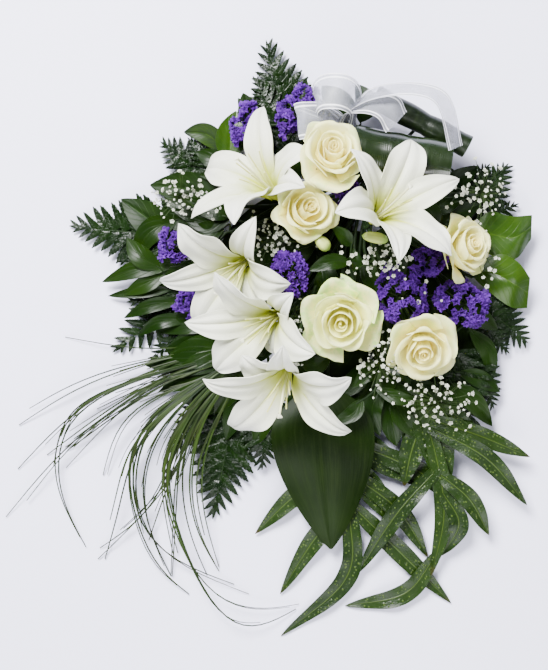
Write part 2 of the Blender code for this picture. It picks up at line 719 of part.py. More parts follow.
def aspidistra(name, points, half_width, rise, cells):
    """A long smooth leaf, shallowly folded along its midrib."""
    run = places(points)
    blade = leaf(name, run, half_width * MM, rise * MM, cells=cells, fullest=0.4)
    apply_modifiers(blade)
    paint(blade, "aspidistra_green", 0.4)
    return run[0], (run[0] - run[1]).normalized()


def rolled_leaf(name, start, end, start_radius, end_radius):
    """A leaf bent round into a loop, with its tip lying over its foot."""
    a, b = place(*start), place(*end)
    axis = (b - a).normalized()
    outward = axis.cross(UP).normalized()
    turns = math.radians(348)
    half = 0.5 * (b - a).length

    def surface(across, along):
        angle = -0.5 * math.pi - 0.05 - turns * along
        edge = across * (1 - 0.10 * abs(2 * along - 1) ** 3)
        radius = (start_radius + (end_radius - start_radius) * 0.5 * (edge + 1)) * MM
        radius *= 1 - 0.03 * along
        middle = (a + b) / 2 + axis * edge * half
        return middle + outward * radius * math.cos(angle) + UP * radius * math.sin(angle)

    blade = sheet(name, surface, (1, 16), LEAF_THICKNESS)
    apply_modifiers(blade)
    paint(blade, "aspidistra_green", 0.35)
    under = (a + b) / 2 - UP * (0.5 * (start_radius + end_radius) * MM + LEAF_THICKNESS / 2)
    return under, Vector((0, 0, -1))


def kangaroo_fern(name, rib, half_width, lobes):
    """A leathery frond: a long tip blade with strap-shaped lobes that leave its rib."""
    run = places(rib)
    pieces = [leaf("Rib", run, half_width * MM, LEAF_RISE, cells=(2, 8), fullest=0.6)]
    for lobe in lobes:
        blade = rooted(places(lobe), run)
        pieces.append(leaf("Lobe", blade, half_width * MM, LEAF_RISE, cells=(1, 4), fullest=0.5))
    frond = fuse(name, pieces)
    paint(frond, "kangaroo_green", 0.4)
    return run[0], (run[0] - run[1]).normalized()


def bear_grass(name):
    """A tuft of long thin blades that leave one sheath in three rows and fan out."""
    root = place(*GRASS_SHEATH_PLACE)
    ahead = Vector((-0.87, -0.5, 0))
    aside = UP.cross(ahead)
    turned = Matrix((aside, ahead.cross(aside), ahead)).transposed().to_4x4()
    bm = bmesh.new()
    bmesh.ops.create_cone(bm, cap_ends=True, segments=6, radius1=3 * MM, radius2=13 * MM,
                          depth=GRASS_SHEATH, matrix=Matrix.Translation(root) @ turned)
    pieces = [new_object("Sheath", bm)]
    for index, blade in enumerate(GRASS_BLADES):
        rank = index - 0.5 * (len(GRASS_BLADES) - 1)
        lift = GRASS_LIFT + GRASS_LEVEL_STEP * rank
        count = len(blade) - 1
        heights = [lift * (1 - (step / count) ** 2) + 1.6 for step in range(count + 1)]
        start = root + ahead * (0.5 * GRASS_SHEATH - 2 * MM) + UP * 1.1 * MM * rank
        start += aside * 3.4 * MM * (1 - index % 3)
        run = [start, *[place(*spot, height) for spot, height in zip(blade, heights)]]
        pieces.append(tube("Blade", run, GRASS_BLADE_RADIUS, steps=3 + count // 2, shares=(1, 0.5)))
    tuft = fuse(name, pieces)
    paint(tuft, "grass_green", 0.5)
    return root - ahead * 0.5 * GRASS_SHEATH, -ahead


def ruscus(name, stem, leaves):
    """A thin stem with small pointed leaves."""
    run = places(stem)
    route = [curve_point(run, step / 5) for step in range(6)]
    pieces = [tube("Stem", route, 1.4 * MM)]
    for *points, half_width in leaves:
        blade = rooted(places(points), route)
        pieces.append(leaf("Leaf", blade, half_width * MM, LEAF_RISE, cells=(2, 3)))
    sprig = fuse(name, pieces)
    paint(sprig, "leaf_green", 0.4)
    return run[0], (route[0] - route[1]).normalized()


def bud(name, start, end, radius):
    """A closed lily bud, pointed at both ends."""
    a, b = place(*start), place(*end)
    bm = bmesh.new()
    bmesh.ops.create_icosphere(bm, subdivisions=2, radius=1)
    length = (b - a).length
    bmesh.ops.scale(bm, vec=(radius * MM, radius * MM, 0.6 * length), verts=bm.verts[:])
    turned = (b - a).to_track_quat("Z", "Y").to_matrix().to_4x4()
    bmesh.ops.transform(bm, matrix=Matrix.Translation((a + b) / 2) @ turned, verts=bm.verts[:])
    obj = new_object(name, bm)
    paint(obj, "bud_green", 0.45)
    return (a + b) / 2 - UP * radius * MM, -UP


def bundle_frame():
    """The middle of the tie, the bundle's cut end, its heading and its side."""
    height = (BUNDLE_RADIUS + CLEARANCE + TIE_THICKNESS) / MM
    tie = place(*TIE_PLACE, height)
    end = place(*BUNDLE_END_PLACE, height)
    heading = (end - tie).normalized()
    return tie, end, heading, UP.cross(heading)


def tie_middle():
    tie, _cut, heading, _side = bundle_frame()
    return tie + heading * (TIE_START + TIE_WIDTH / 2)


def around_bundle(middle, radius, length, caps):
    """A twelve-sided prism along the bundle, with one side flat on the surface."""
    heading, side = bundle_frame()[2:]
    turned = Matrix((side, heading.cross(side), heading)).transposed().to_4x4()
    bm = bmesh.new()
    corner = radius / math.cos(math.pi / 12)
    bmesh.ops.create_cone(
        bm, cap_ends=caps, segments=12, radius1=corner, radius2=corner, depth=length,
        matrix=Matrix.Translation(middle) @ turned @ Matrix.Rotation(math.pi / 12, 4, "Z"))
    return bm


def stem_route(start, leave, goal, arrive):
    """Four points of a bend that leaves start one way and meets goal end on."""
    reach = (goal - start).length
    first = start + leave * 0.30 * reach
    last = goal + arrive * 0.35 * reach
    last.z = max(last.z, min(goal.z, STEM_LEVEL))
    run = [start * (1 - t) ** 3 + 3 * first * t * (1 - t) ** 2 + 3 * last * t * t * (1 - t) + goal * t**3
           for t in (0, 0.4, 1)]
    foot = goal + arrive * min(STEM_RISE, 0.25 * reach)
    if arrive.z < -0.9:
        foot.z = max(foot.z, min(goal.z - 2 * MM, LEAST_STEM_LEVEL))
    run.insert(2, foot)
    return run


def stems(name, ends):
    """The stems: one bundle where the tie holds them, and a stem from it to each bloom and leaf."""
    tie, cut, heading, side = bundle_frame()
    past_tie = (cut - tie).length
    length = past_tie + BUNDLE_LEAD
    middle = cut - heading * length / 2
    pieces = [new_object("Bundle", around_bundle(middle, BUNDLE_RADIUS, length, True))]
    routes = {}
    main = sorted((end for end in ends if end[0] not in BRANCHES), key=lambda end: end[1].z)
    for index, (piece, goal, arrive) in enumerate(main):
        ahead, away = (goal - tie).dot(heading), (goal - tie).dot(side)
        if ahead > TIE_START + TIE_WIDTH:
            start = tie + heading * min(ahead, past_tie - 4 * MM)
            start += side * max(-0.6 * BUNDLE_RADIUS, min(0.6 * BUNDLE_RADIUS, away))
            leave = UP if ahead < past_tie else heading
        else:
            level = (1.3 * (index + 0.5) / len(main) - 0.55) * BUNDLE_RADIUS
            start = tie - heading * 2 * MM + UP * level
            start += side * max(-0.6, min(0.6, away / STEM_SPREAD)) * BUNDLE_RADIUS
            leave = -heading
        routes[piece] = stem_route(start, leave, goal + arrive * CLEARANCE, arrive)
    for piece, goal, arrive in ends:
        if piece in BRANCHES:
            parent = routes[BRANCHES[piece]]
            start = parent[1].lerp(parent[2], 0.5)
            leave = (parent[2] - parent[1]).normalized()
            routes[piece] = stem_route(start, leave, goal + arrive * CLEARANCE, arrive)
    for piece, route in routes.items():
        pieces.append(tube("Stem", route, STEM_RADIUS))
    bunch = fuse(name, pieces)
    paint(bunch, "stem_green", 0.5)


def tie_band(name):
    """The band that is wound tightly round the stems, with a flat side on the surface."""
    middle = tie_middle()
    obj = new_object(name, around_bundle(middle, BUNDLE_RADIUS + CLEARANCE, TIE_WIDTH, False))
    wall = obj.modifiers.new("Wall", "SOLIDIFY")
    wall.thickness = TIE_THICKNESS
    wall.offset = 1
    wall.use_even_offset = True
    apply_modifiers(obj)
    paint(obj, "tie_green", 0.6)


def ribbon_loop(points, closed):
    """A band along the loop that keeps its face, pinched where it enters the knot."""
    rows = round(1.4 * len(points))
    step = 1 / rows
    sides = []
    side = Vector((0, 1, 0))
    for row in range(rows + 1):
        behind = curve_point(points, max((row - 0.5) * step, 0))
        ahead = (curve_point(points, min((row + 0.5) * step, 1)) - behind).normalized()
        side = (side - ahead * side.dot(ahead)).normalized()
        sides.append(side)

    def surface(across, along):
        inward = math.sin(math.pi * along) if closed else min(1.0, 3 * along)
        half = 0.5 * RIBBON_WIDTH * (0.25 + 0.75 * max(0.0, inward) ** 0.6)
        return curve_point(points, along) + sides[round(along * rows)] * across * half

    return sheet("Loop", surface, (1, rows), RIBBON_THICKNESS)


def ribbon(name):
    """A wide sheer band in loops that leave one knot, tied at the side of the stems."""
    heading, side = bundle_frame()[2:]
    knot = tie_middle() + side * (BUNDLE_RADIUS + TIE_THICKNESS + CLEARANCE + KNOT_REACH)
    turned = Matrix((side, heading.cross(side), heading)).transposed().to_4x4()
    bm = bmesh.new()
    bmesh.ops.create_icosphere(bm, subdivisions=1, radius=KNOT_RADIUS,
                               matrix=Matrix.Translation(knot) @ turned)
    pieces = [new_object("Knot", bm)]
    for loop, closed in RIBBON_LOOPS:
        run = places(loop)
        run.insert(0, knot + (run[0] - knot).normalized() * KNOT_HOLD + UP * 2 * MM)
        if closed:
            run.append(knot + (run[-1] - knot).normalized() * KNOT_HOLD - UP * 2 * MM)
        pieces.append(ribbon_loop(run, closed))
    bow = fuse(name, pieces)
    paint(bow, "ribbon_white", 0.6)


def build():
    """Makes every piece, then leads a stem to each one."""
    ends = []
    makers = (
        (lily, LILIES), (rose, ROSES), (statice, STATICE), (gypsophila, GYPSOPHILA), (fern, FERNS),
        (broad_leaf, BROAD_LEAVES), (aspidistra, ASPIDISTRA_LEAVES), (rolled_leaf, ROLLED_LEAVES),
        (kangaroo_fern, KANGAROO_FERNS), (ruscus, RUSCUS), (bud, BUDS),
    )
    for make, table in makers:
        for name, values in table.items():
            ends.append((name, *make(name, *values)))
    ends.append(("bear_grass", *bear_grass("bear_grass")))
    stems("stems", ends)
    tie_band("tie_band")
    ribbon("ribbon")
    bpy.data.objects.remove(PROFILE)


build()
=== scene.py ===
import collections
import math

import bpy
import numpy as np
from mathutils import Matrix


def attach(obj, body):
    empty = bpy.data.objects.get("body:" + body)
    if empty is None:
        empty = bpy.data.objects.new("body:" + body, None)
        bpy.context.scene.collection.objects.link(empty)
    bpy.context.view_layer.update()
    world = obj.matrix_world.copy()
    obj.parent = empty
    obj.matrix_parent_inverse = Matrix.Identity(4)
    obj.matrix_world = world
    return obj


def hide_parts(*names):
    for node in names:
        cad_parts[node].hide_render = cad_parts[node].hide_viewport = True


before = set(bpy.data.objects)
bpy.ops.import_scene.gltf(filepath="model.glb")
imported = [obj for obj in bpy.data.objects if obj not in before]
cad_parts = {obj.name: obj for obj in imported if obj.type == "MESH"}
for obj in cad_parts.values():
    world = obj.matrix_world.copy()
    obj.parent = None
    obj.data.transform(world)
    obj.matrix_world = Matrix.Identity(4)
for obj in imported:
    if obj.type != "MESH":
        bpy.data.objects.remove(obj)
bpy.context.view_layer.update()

bl_info = {
    "name": "Funeral Bouquet",
    "version": (1, 0, 0),
    "blender": (4, 5, 0),
    "location": "View3D > Sidebar > Bouquet",
    "description": "Dresses a hand-tied funeral bouquet with its petals, leaves, stems and ribbon",
    "category": "Add Mesh",
}

UP = np.array((0.0, 0.0, 1.0))
MM = 0.001

# The grid that the bouquet is laid out on, seen from straight above. Places are (column, row,
# height): columns and rows from the upper left corner, and millimetres above the surface.
GRID_STEP = 1.1 * MM
GRID_MIDDLE = (274, 335)
GRID_MIDDLE_PLACE = (7.9 * MM, 4.1 * MM)
EYE_HEIGHT = 1860 * MM
GRID_HEIGHT = 60 * MM

LILY_PETAL_LENGTH = 106 * MM
LILY_OUTER_WIDTH = 34 * MM
LILY_INNER_WIDTH = 45 * MM
LILY_FILAMENT_LENGTH = 62 * MM
LILY_NECK = 9 * MM
ROSE_RADIUS = 41 * MM
ROSE_HEIGHT = 46 * MM
ROSE_NECK = 4 * MM
FERN_SLANT = 0.5
RIBBON_WIDTH = 40 * MM
KNOT_RADIUS = 8.4 * MM
KNOT_REACH = 7.85 * MM
KNOT_HOLD = 5 * MM
STEM_LEVEL = 20 * MM
STEM_RISE = 14 * MM
LEAST_STEM_LEVEL = 16 * MM
STEM_SPREAD = 150 * MM
BUNDLE_RADIUS = 15 * MM
BUNDLE_LEAD = 20 * MM
CLEARANCE = 0.3 * MM
TIE_WIDTH = 18 * MM
TIE_START = 7 * MM
TIE_THICKNESS = 1.6 * MM
TIE_PLACE = (374, 174)
BUNDLE_END_PLACE = (401, 145)
STEM_GAP = 4.15 * MM
MOST_STEMS = 60
STEM_LEAD = 12 * MM
RIBBON_ROWS = 72
FLOOR_LEVEL = -0.0003
SKY_COLOUR = (0.93, 0.95, 1.0)

LILY_PETAL_THICKNESS = 0.8 * MM
ROSE_PETAL_THICKNESS = 0.4 * MM
SEPAL_THICKNESS = 0.5 * MM
STATICE_THICKNESS = 0.22 * MM
GYPSOPHILA_THICKNESS = 0.2 * MM
FERN_THICKNESS = 0.35 * MM
BROAD_LEAF_THICKNESS = 0.55 * MM
LONG_LEAF_THICKNESS = 0.7 * MM
SMALL_LEAF_THICKNESS = 0.5 * MM
RIBBON_THICKNESS = 0.12 * MM

# Radii of the stems (mm): the slim ones by what they carry, all others, and the least one that is
# packed in the bundle.
SLIM_STEMS = {"statice": 1.7, "gypsophila": 1.4, "ruscus": 1.5, "salal": 1.5, "fern": 1.6, "bud": 1.6}
FULL_STEM = 2.1
LEAST_BUNDLED_STEM = 1.9

# Seeds of the pieces that aren't drawn from their own names.
STRAY_SEED = 5
GRASS_SEED = 5
FILLING_SEED = 8
STEM_SEED = 3

# Each lamp: where it hangs, its size, and which power it takes a share of.
LAMPS = (
    ("Main Light", (-0.75, 1.35, 1.95), 1.0, "key_power", 1.0),
    ("Side Light", (1.7, 0.2, 1.5), 1.2, "fill_power", 0.5),
    ("Low Light", (-0.2, -1.9, 1.6), 1.4, "fill_power", 1.0),
    ("Near Light", (0.1, -1.1, 0.85), 1.0, "fill_power", 0.4),
)

# Each lily: throat, tilt and heading of its axis, and for each petal its turn about the axis,
# how far it opens (degrees) and its share of the full length.
LILIES = {
    "lily_1": ((276, 195, 50), 45, 137, ((316, 104, 1), (250, 118, 0.76), (196, 108, 0.8),
                                         (129, 86, 1), (85, 96, 1), (21, 122, 0.95))),
    "lily_2": ((248, 259, 62), 40, 226, ((191, 115, 0.95), (132, 106, 0.86), (72, 125, 0.6),
                                         (5, 122, 1), (316, 92, 1), (259, 87, 1))),
    "lily_3": ((279, 314, 78), 37, 213, ((185, 92, 0.7), (133, 96, 0.9), (72, 130, 0.45),
                                         (11, 118, 1), (325, 90, 1), (257, 72, 1))),
    "lily_4": ((289, 366, 98), 42, 255, ((192, 92, 0.9), (238, 104, 0.7), (272, 100, 1),
                                         (326, 120, 1), (78, 104, 1), (128, 104, 1))),
    "lily_5": ((375, 219, 80), 34, 38, ((100, 88, 0.9), (35, 108, 1), (345, 89, 1),
                                        (276, 96, 1), (219, 86, 0.95), (157, 106, 0.95))),
}

# Each rose: middle of the bloom, tilt and heading of its axis, and its size.
ROSES = {
    "rose_1": ((335, 158, 103), 14, 60, 0.90),
    "rose_2": ((303, 213, 86), 16, 20, 0.84),
    "rose_3": ((347, 319, 78), 10, 300, 1.06),
    "rose_4": ((467, 250, 58), 42, 10, 0.88),
    "rose_5": ((428, 350, 66), 30, 290, 0.92),
}

GREENISH_ROSE = "rose_3"

# Pieces whose blade or petals have another finish than the rest of their kind.
OTHER_FINISHES = {
    GREENISH_ROSE: "Rose Green", "salal_leaf_3": "Bright Leaf", "salal_leaf_4": "Grey Leaf",
    "salal_leaf_8": "Bright Leaf", "salal_leaf_9": "Bright Leaf", "aspidistra_roll_2": "Grey Rolled Leaf",
}

# Each ring of a rose's petals: how many, then their reach, height, half turn (degrees), rolled rim,
# point at the rim and tint. Reach and roll are shares of the radius, height a share of the height.
ROSE_RINGS = (
    (3, 0.15, 1.03, 72, 0.01, 0.08, 0.05),
    (3, 0.29, 1.00, 80, 0.02, 0.12, 0.22),
    (3, 0.48, 0.97, 74, 0.04, 0.18, 0.46),
    (4, 0.72, 0.88, 60, 0.07, 0.26, 0.72),
    (5, 0.97, 0.58, 46, 0.10, 0.30, 1.00),
)

# Which way the heart of each rose lies from the middle of the bloom.
ROSE_DRIFTS = {"rose_1": (0.6, 0.8), "rose_2": (0.9, 0.4), "rose_3": (-0.1, -1.0), "rose_4": (-0.4, 0.9),
               "rose_5": (-0.6, -0.8)}

# Each statice sprig: middle, half sizes along and across (mm), heading, and florets.
STATICE = {
    "statice_1": ((296, 110, 42), (23, 12, 11), 60, 11),
    "statice_2": ((247, 125, 31), (20, 10, 8), 70, 9),
    "statice_3": ((174, 246, 36), (13, 11, 10), 100, 7),
    "statice_4": ((192, 300, 34), (12, 10, 10), 100, 7),
    "statice_5": ((289, 275, 66), (20, 16, 12), 300, 11),
    "statice_6": ((343, 190, 60), (15, 9, 10), 60, 8),
    "statice_7": ((400, 298, 60), (32, 21, 13), 290, 16),
    "statice_8": ((427, 262, 60), (14, 10, 10), 20, 7),
    "statice_9": ((463, 304, 52), (26, 18, 12), 340, 14),
}

# Each gypsophila spray: middle of its head, half sizes (mm) and florets.
GYPSOPHILA = {
    "gypsophila_1": ((181, 197, 46), (24, 18, 12), 9),
    "gypsophila_2": ((273, 238, 60), (15, 18, 12), 8),
    "gypsophila_3": ((302, 338, 58), (12, 20, 12), 8),
    "gypsophila_4": ((388, 258, 82), (22, 13, 12), 8),
    "gypsophila_5": ((482, 192, 48), (20, 24, 14), 9),
    "gypsophila_6": ((380, 366, 58), (20, 24, 12), 9),
    "gypsophila_7": ((438, 402, 50), (34, 23, 14), 12),
}

# Stray gypsophila between the blooms: middle, half sizes (mm) and florets.
GYPSOPHILA_STRAYS = (
    ((315, 315, 60), (22, 28, 8), 16), ((380, 270, 72), (22, 10, 8), 12), ((488, 258, 54), (10, 32, 6), 16),
    ((345, 262, 64), (14, 22, 6), 10), ((380, 350, 60), (20, 24, 6), 12), ((300, 240, 66), (22, 14, 6), 10),
    ((228, 214, 42), (30, 8, 5), 9), ((415, 395, 50), (30, 18, 6), 14), ((452, 196, 54), (16, 14, 6), 8),
    ((178, 206, 42), (28, 20, 5), 10), ((418, 292, 72), (24, 18, 5), 7), ((292, 352, 62), (12, 16, 5), 6),
)

# Each fern frond: points along its rib from the stem to the tip, half width (mm) and pairs of
# leaflets.
FERNS = {
    "fern_1": (((292, 160, 9), (282, 105, 9), (266, 40, 6)), 52, 8),
    "fern_2": (((228, 198, 8), (195, 168, 7), (161, 142, 4)), 40, 7),
    "fern_3": (((190, 236, 8), (130, 232, 9), (70, 226, 4)), 50, 7),
    "fern_4": (((216, 276, 7), (165, 312, 8), (113, 352, 4)), 46, 6),
    "fern_5": (((238, 380, 9), (226, 450, 10), (213, 518, 5)), 54, 8),
    "fern_6": (((268, 392, 22), (264, 430, 19), (262, 470, 10)), 36, 6),
    "fern_7": (((468, 296, 22), (498, 318, 18), (528, 343, 8)), 40, 6),
    "fern_8": (((450, 226, 10), (482, 196, 10), (508, 164, 6)), 40, 7),
    "fern_9": (((456, 352, 26), (466, 400, 22), (470, 452, 12)), 34, 7),
}

# Each broad leaf: points along its midrib, half width (mm), and how far its edges rise (mm). A
# blunt one has its width and rise from its edges, in the next table.
BROAD_LEAVES = {
    "salal_leaf_1": (((232, 203, 13), (190, 190, 12), (150, 185, 10)), 21, 2),
    "salal_leaf_2": (((182, 244, 11), (150, 220, 13), (121, 199, 8)), 20, 2),
    "salal_leaf_3": (((229, 162, 18), (231, 136, 18), (236, 111, 12)), 17, 3),
    "salal_leaf_4": (((226, 150, 13), (206, 134, 15), (184, 132, 12)), 12, 3),
    "salal_leaf_5": (((262, 148, 3), (252, 120, 3), (243, 93, 2.5)), 17, 0.5),
    "salal_leaf_6": (((240, 350, 9), (208, 348, 10), (170, 343, 7)), 19, 2),
    "salal_leaf_7": (((232, 386, 13), (208, 392, 14), (182, 401, 12)), 15, 1.5),
    "salal_leaf_8": (((478, 243, 28), (506, 236, 32), (531, 228, 24)),),
    "salal_leaf_9": (((476, 274, 30), (504, 276, 38), (527, 291, 22)),),
}

# The broad leaves with a blunt end: points along the upper edge of each and along its lower edge.
BLUNT_LEAVES = {
    "salal_leaf_8": (((472, 228, 25), (489, 212, 28), (511, 216, 33), (532, 215, 27)),
                     ((472, 243, 28), (493, 256, 33), (515, 259, 26), (531, 239, 18))),
    "salal_leaf_9": (((474, 264, 28), (499, 254, 37), (517, 261, 41), (530, 278, 30)),
                     ((474, 278, 24), (489, 292, 24), (511, 307, 24), (527, 308, 12))),
}

# Each flat aspidistra leaf: points along its midrib, half width and rise of its edges (mm).
# The back leaves lie on the surface below the blooms, and the long one hangs below them.
ASPIDISTRA_LEAVES = {
    "aspidistra_leaf": (((318, 384, 34), (322, 425, 44), (327, 485, 34), (331, 549, 18)),
                        57.5, -7),
    "back_leaf_1": (((350, 216, 6), (300, 240, 1), (250, 266, 0.4), (205, 290, 0.4)), 60, 0),
    "back_leaf_2": (((362, 232, 9), (345, 290, 3), (322, 352, 3), (304, 410, 3)), 60, 0),
    "back_leaf_3": (((382, 228, 12), (412, 284, 6), (438, 345, 5), (452, 410, 5)), 58, 0),
}

# Each rolled aspidistra leaf: the two ends of its axis and its radius (mm).
ROLLED_LEAVES = {
    "aspidistra_roll_1": ((352, 149, 61), (450, 164, 61), 27, 24),
    "aspidistra_roll_2": ((374, 97, 49), (468, 147, 49), 14, 13),
}

# Each kangaroo fern frond: its rib, half width (mm), and its lobes, each from rib to tip.
KANGAROO_FERNS = {
    "kangaroo_fern_1": (
        ((418, 398, 30), (436, 456, 27), (444, 516, 20), (431, 576, 14)), 11,
        (((438, 413, 29), (480, 436, 30), (530, 457, 22)),
         ((433, 424, 28), (486, 458, 36), (527, 505, 20)),
         ((443, 475, 25), (470, 500, 29), (489, 535, 17)),
         ((444, 492, 23), (459, 524, 23), (441, 556, 8)),
         ((427, 470, 26), (396, 515, 26), (357, 574, 9)),
         ((438, 556, 14), (404, 594, 8), (345, 606, 2))),
    ),
    "kangaroo_fern_2": (
        ((330, 420, 12), (350, 520, 16), (345, 580, 10), (281, 636, 1)), 11.5,
        (((350, 432, 13), (416, 470, 14), (468, 510, 8)),
         ((352, 465, 14), (396, 508, 15), (428, 557, 5)),
         ((352, 500, 15), (400, 552, 11), (451, 603, 2)),
         ((340, 475, 13), (300, 492, 14), (255, 534, 4)),
         ((349, 515, 15), (318, 535, 14), (280, 594, 3))),
    ),
}

# The broad blades where the lobes of a kangaroo fern frond join, with their half widths (mm).
KANGAROO_JOINTS = {
    "kangaroo_fern_1": ((((420, 392, 26), (434, 432, 25.5), (447, 494, 19)), 22),
                        (((428, 402, 25), (462, 432, 27), (496, 466, 22)), 17),
                        (((424, 420, 25), (412, 450, 24), (404, 486, 18)), 14)),
    "kangaroo_fern_2": ((((340, 430, 11), (372, 452, 13), (420, 486, 10)), 17),
                        (((346, 456, 12), (372, 490, 13), (402, 528, 8)), 15)),
}

# The bear grass: its sheath's length, middle and heading, how high a blade starts and what each
# one adds (mm), how many times a blade's route is smoothed, and points along each blade, from the
# uppermost one of the fan round to the steepest one.
GRASS_SHEATH = 16 * MM
GRASS_LIFT = 30
GRASS_LEVEL_STEP = 1.9
GRASS_EASING = 14
GRASS_SHEATH_PLACE = (262, 347, 33)
GRASS_HEADING = np.array((-0.87, -0.5, 0.0))
GRASS_BLADES = (
    ((200, 346), (140, 350), (65, 337)),
    ((190, 352), (90, 380), (19, 425)),
    ((185, 358), (85, 400), (18, 469)),
    ((185, 365), (110, 408), (47, 455)),
    ((188, 370), (120, 412), (68, 450)),
    ((185, 368), (80, 430), (6, 517)),
    ((180, 366), (78, 402), (57, 456), (62, 502), (86, 547)),
    ((190, 368), (128, 402), (66, 468)),
    ((195, 372), (150, 384), (97, 409)),
    ((205, 378), (124, 410), (103, 475)),
    ((200, 380), (138, 428), (126, 484), (150, 562), (189, 594)),
    ((202, 382), (144, 426), (132, 499), (162, 559), (249, 594)),
    ((204, 382), (136, 440), (122, 500), (105, 559)),
    ((204, 384), (148, 440), (141, 512), (171, 576)),
    ((210, 390), (178, 440), (156, 508), (100, 548)),
    ((210, 392), (188, 448), (162, 496), (98, 559)),
    ((206, 388), (164, 446), (162, 500), (200, 592), (255, 611), (299, 604)),
    ((208, 390), (170, 450), (168, 506), (208, 606), (250, 633), (296, 609)),
    ((210, 390), (168, 440), (160, 490), (174, 558)),
    ((214, 394), (186, 446), (168, 484), (149, 540)),
    ((212, 394), (180, 446), (174, 500), (171, 574)),
    ((212, 394), (182, 450), (184, 520), (207, 575)),
    ((216, 396), (190, 450), (190, 520), (219, 571)),
    ((226, 402), (202, 457), (202, 510), (219, 567)),
)

# Each ruscus sprig: its stem, and its leaves, each from the stem to its tip, with half width (mm).
RUSCUS = {
    "ruscus_1": (
        ((352, 278, 60), (350, 262, 64), (352, 240, 68)),
        (((350, 262, 64), (330, 262, 70), (308, 271, 66), 9),
         ((352, 246, 67), (344, 236, 74), (332, 226, 76), 8),
         ((352, 270, 62), (357, 262, 68), (353, 248, 65), 6)),
    ),
    "ruscus_2": (
        ((388, 356, 38), (376, 388, 46), (356, 404, 54)),
        (((384, 372, 42), (368, 374, 50), (352, 388, 47), 9),
         ((362, 400, 51), (352, 414, 56), (330, 424, 54), 9),
         ((376, 388, 46), (398, 398, 52), (418, 400, 50), 8),
         ((386, 366, 40), (402, 372, 47), (410, 384, 46), 7)),
    ),
}

# Each lily bud: its ends and its radius (mm).
BUDS = {
    "bud_1": ((386, 240, 104), (364, 236, 108), 6),
    "bud_2": ((328, 249, 73), (317, 238, 75), 7),
}

# The ribbon: points along each of its loops after the knot, and whether the loop closes there.
RIBBON_LOOPS = (
    (((352, 130, 44), (356, 104, 74), (344, 92, 96), (322, 92, 90), (316, 104, 68),
      (336, 122, 44)), True),
    (((346, 130, 46), (326, 120, 72), (306, 120, 84), (297, 122, 76), (306, 124, 66),
      (336, 134, 42)), True),
    (((348, 126, 40), (354, 106, 62), (370, 102, 86), (388, 108, 98), (397, 122, 92)), False),
    (((346, 122, 44), (364, 98, 78), (400, 88, 92), (434, 94, 100), (449, 114, 98),
      (456, 148, 92)), False),
)

# Stems that leave another stem before the tie, as the branches of one plant do.
BRANCHES = {
    "statice_2": "statice_1", "statice_4": "statice_3", "statice_6": "statice_5",
    "statice_8": "statice_7", "statice_9": "statice_7",
    "gypsophila_1": "gypsophila_2", "gypsophila_3": "gypsophila_6", "gypsophila_4": "gypsophila_6",
    "gypsophila_7": "gypsophila_6",
    "salal_leaf_2": "salal_leaf_1", "salal_leaf_3": "salal_leaf_5", "salal_leaf_4": "salal_leaf_5",
    "salal_leaf_7": "salal_leaf_6", "salal_leaf_8": "salal_leaf_9",
    "bud_1": "lily_5", "bud_2": "ruscus_1", "fern_4": "fern_3", "fern_6": "fern_5",
    "fern_9": "fern_7",
}

# Smaller fronds that leave the foot of a frond's rib.
SIDE_FRONDS = {
    "fern_1": ((((292, 160, 9), (272, 112, 14), (254, 78, 8)), 30, 5),),
    "fern_2": ((((228, 198, 8), (205, 158, 12), (190, 140, 8)), 26, 5),),
    "fern_3": ((((190, 236, 8), (150, 252, 12), (118, 262, 7)), 30, 5),),
    "fern_4": ((((216, 276, 7), (170, 294, 13), (128, 302, 8)), 36, 6),
               (((216, 276, 7), (180, 330, 10), (150, 362, 5)), 28, 5)),
    "fern_5": ((((238, 380, 6), (200, 420, 9), (170, 452, 4)), 34, 6),),
    "fern_6": ((((268, 392, 22), (282, 424, 18), (290, 452, 12)), 24, 5),),
    "fern_7": ((((468, 296, 22), (490, 332, 18), (508, 352, 10)), 26, 5),),
    "fern_8": ((((450, 226, 10), (474, 184, 14), (488, 166, 8)), 26, 5),
               (((450, 226, 10), (488, 216, 14), (518, 204, 8)), 26, 5)),
    "fern_9": ((((456, 352, 26), (480, 378, 20), (494, 408, 12)), 32, 6),
               (((456, 352, 26), (440, 400, 22), (428, 444, 16)), 32, 6)),
}

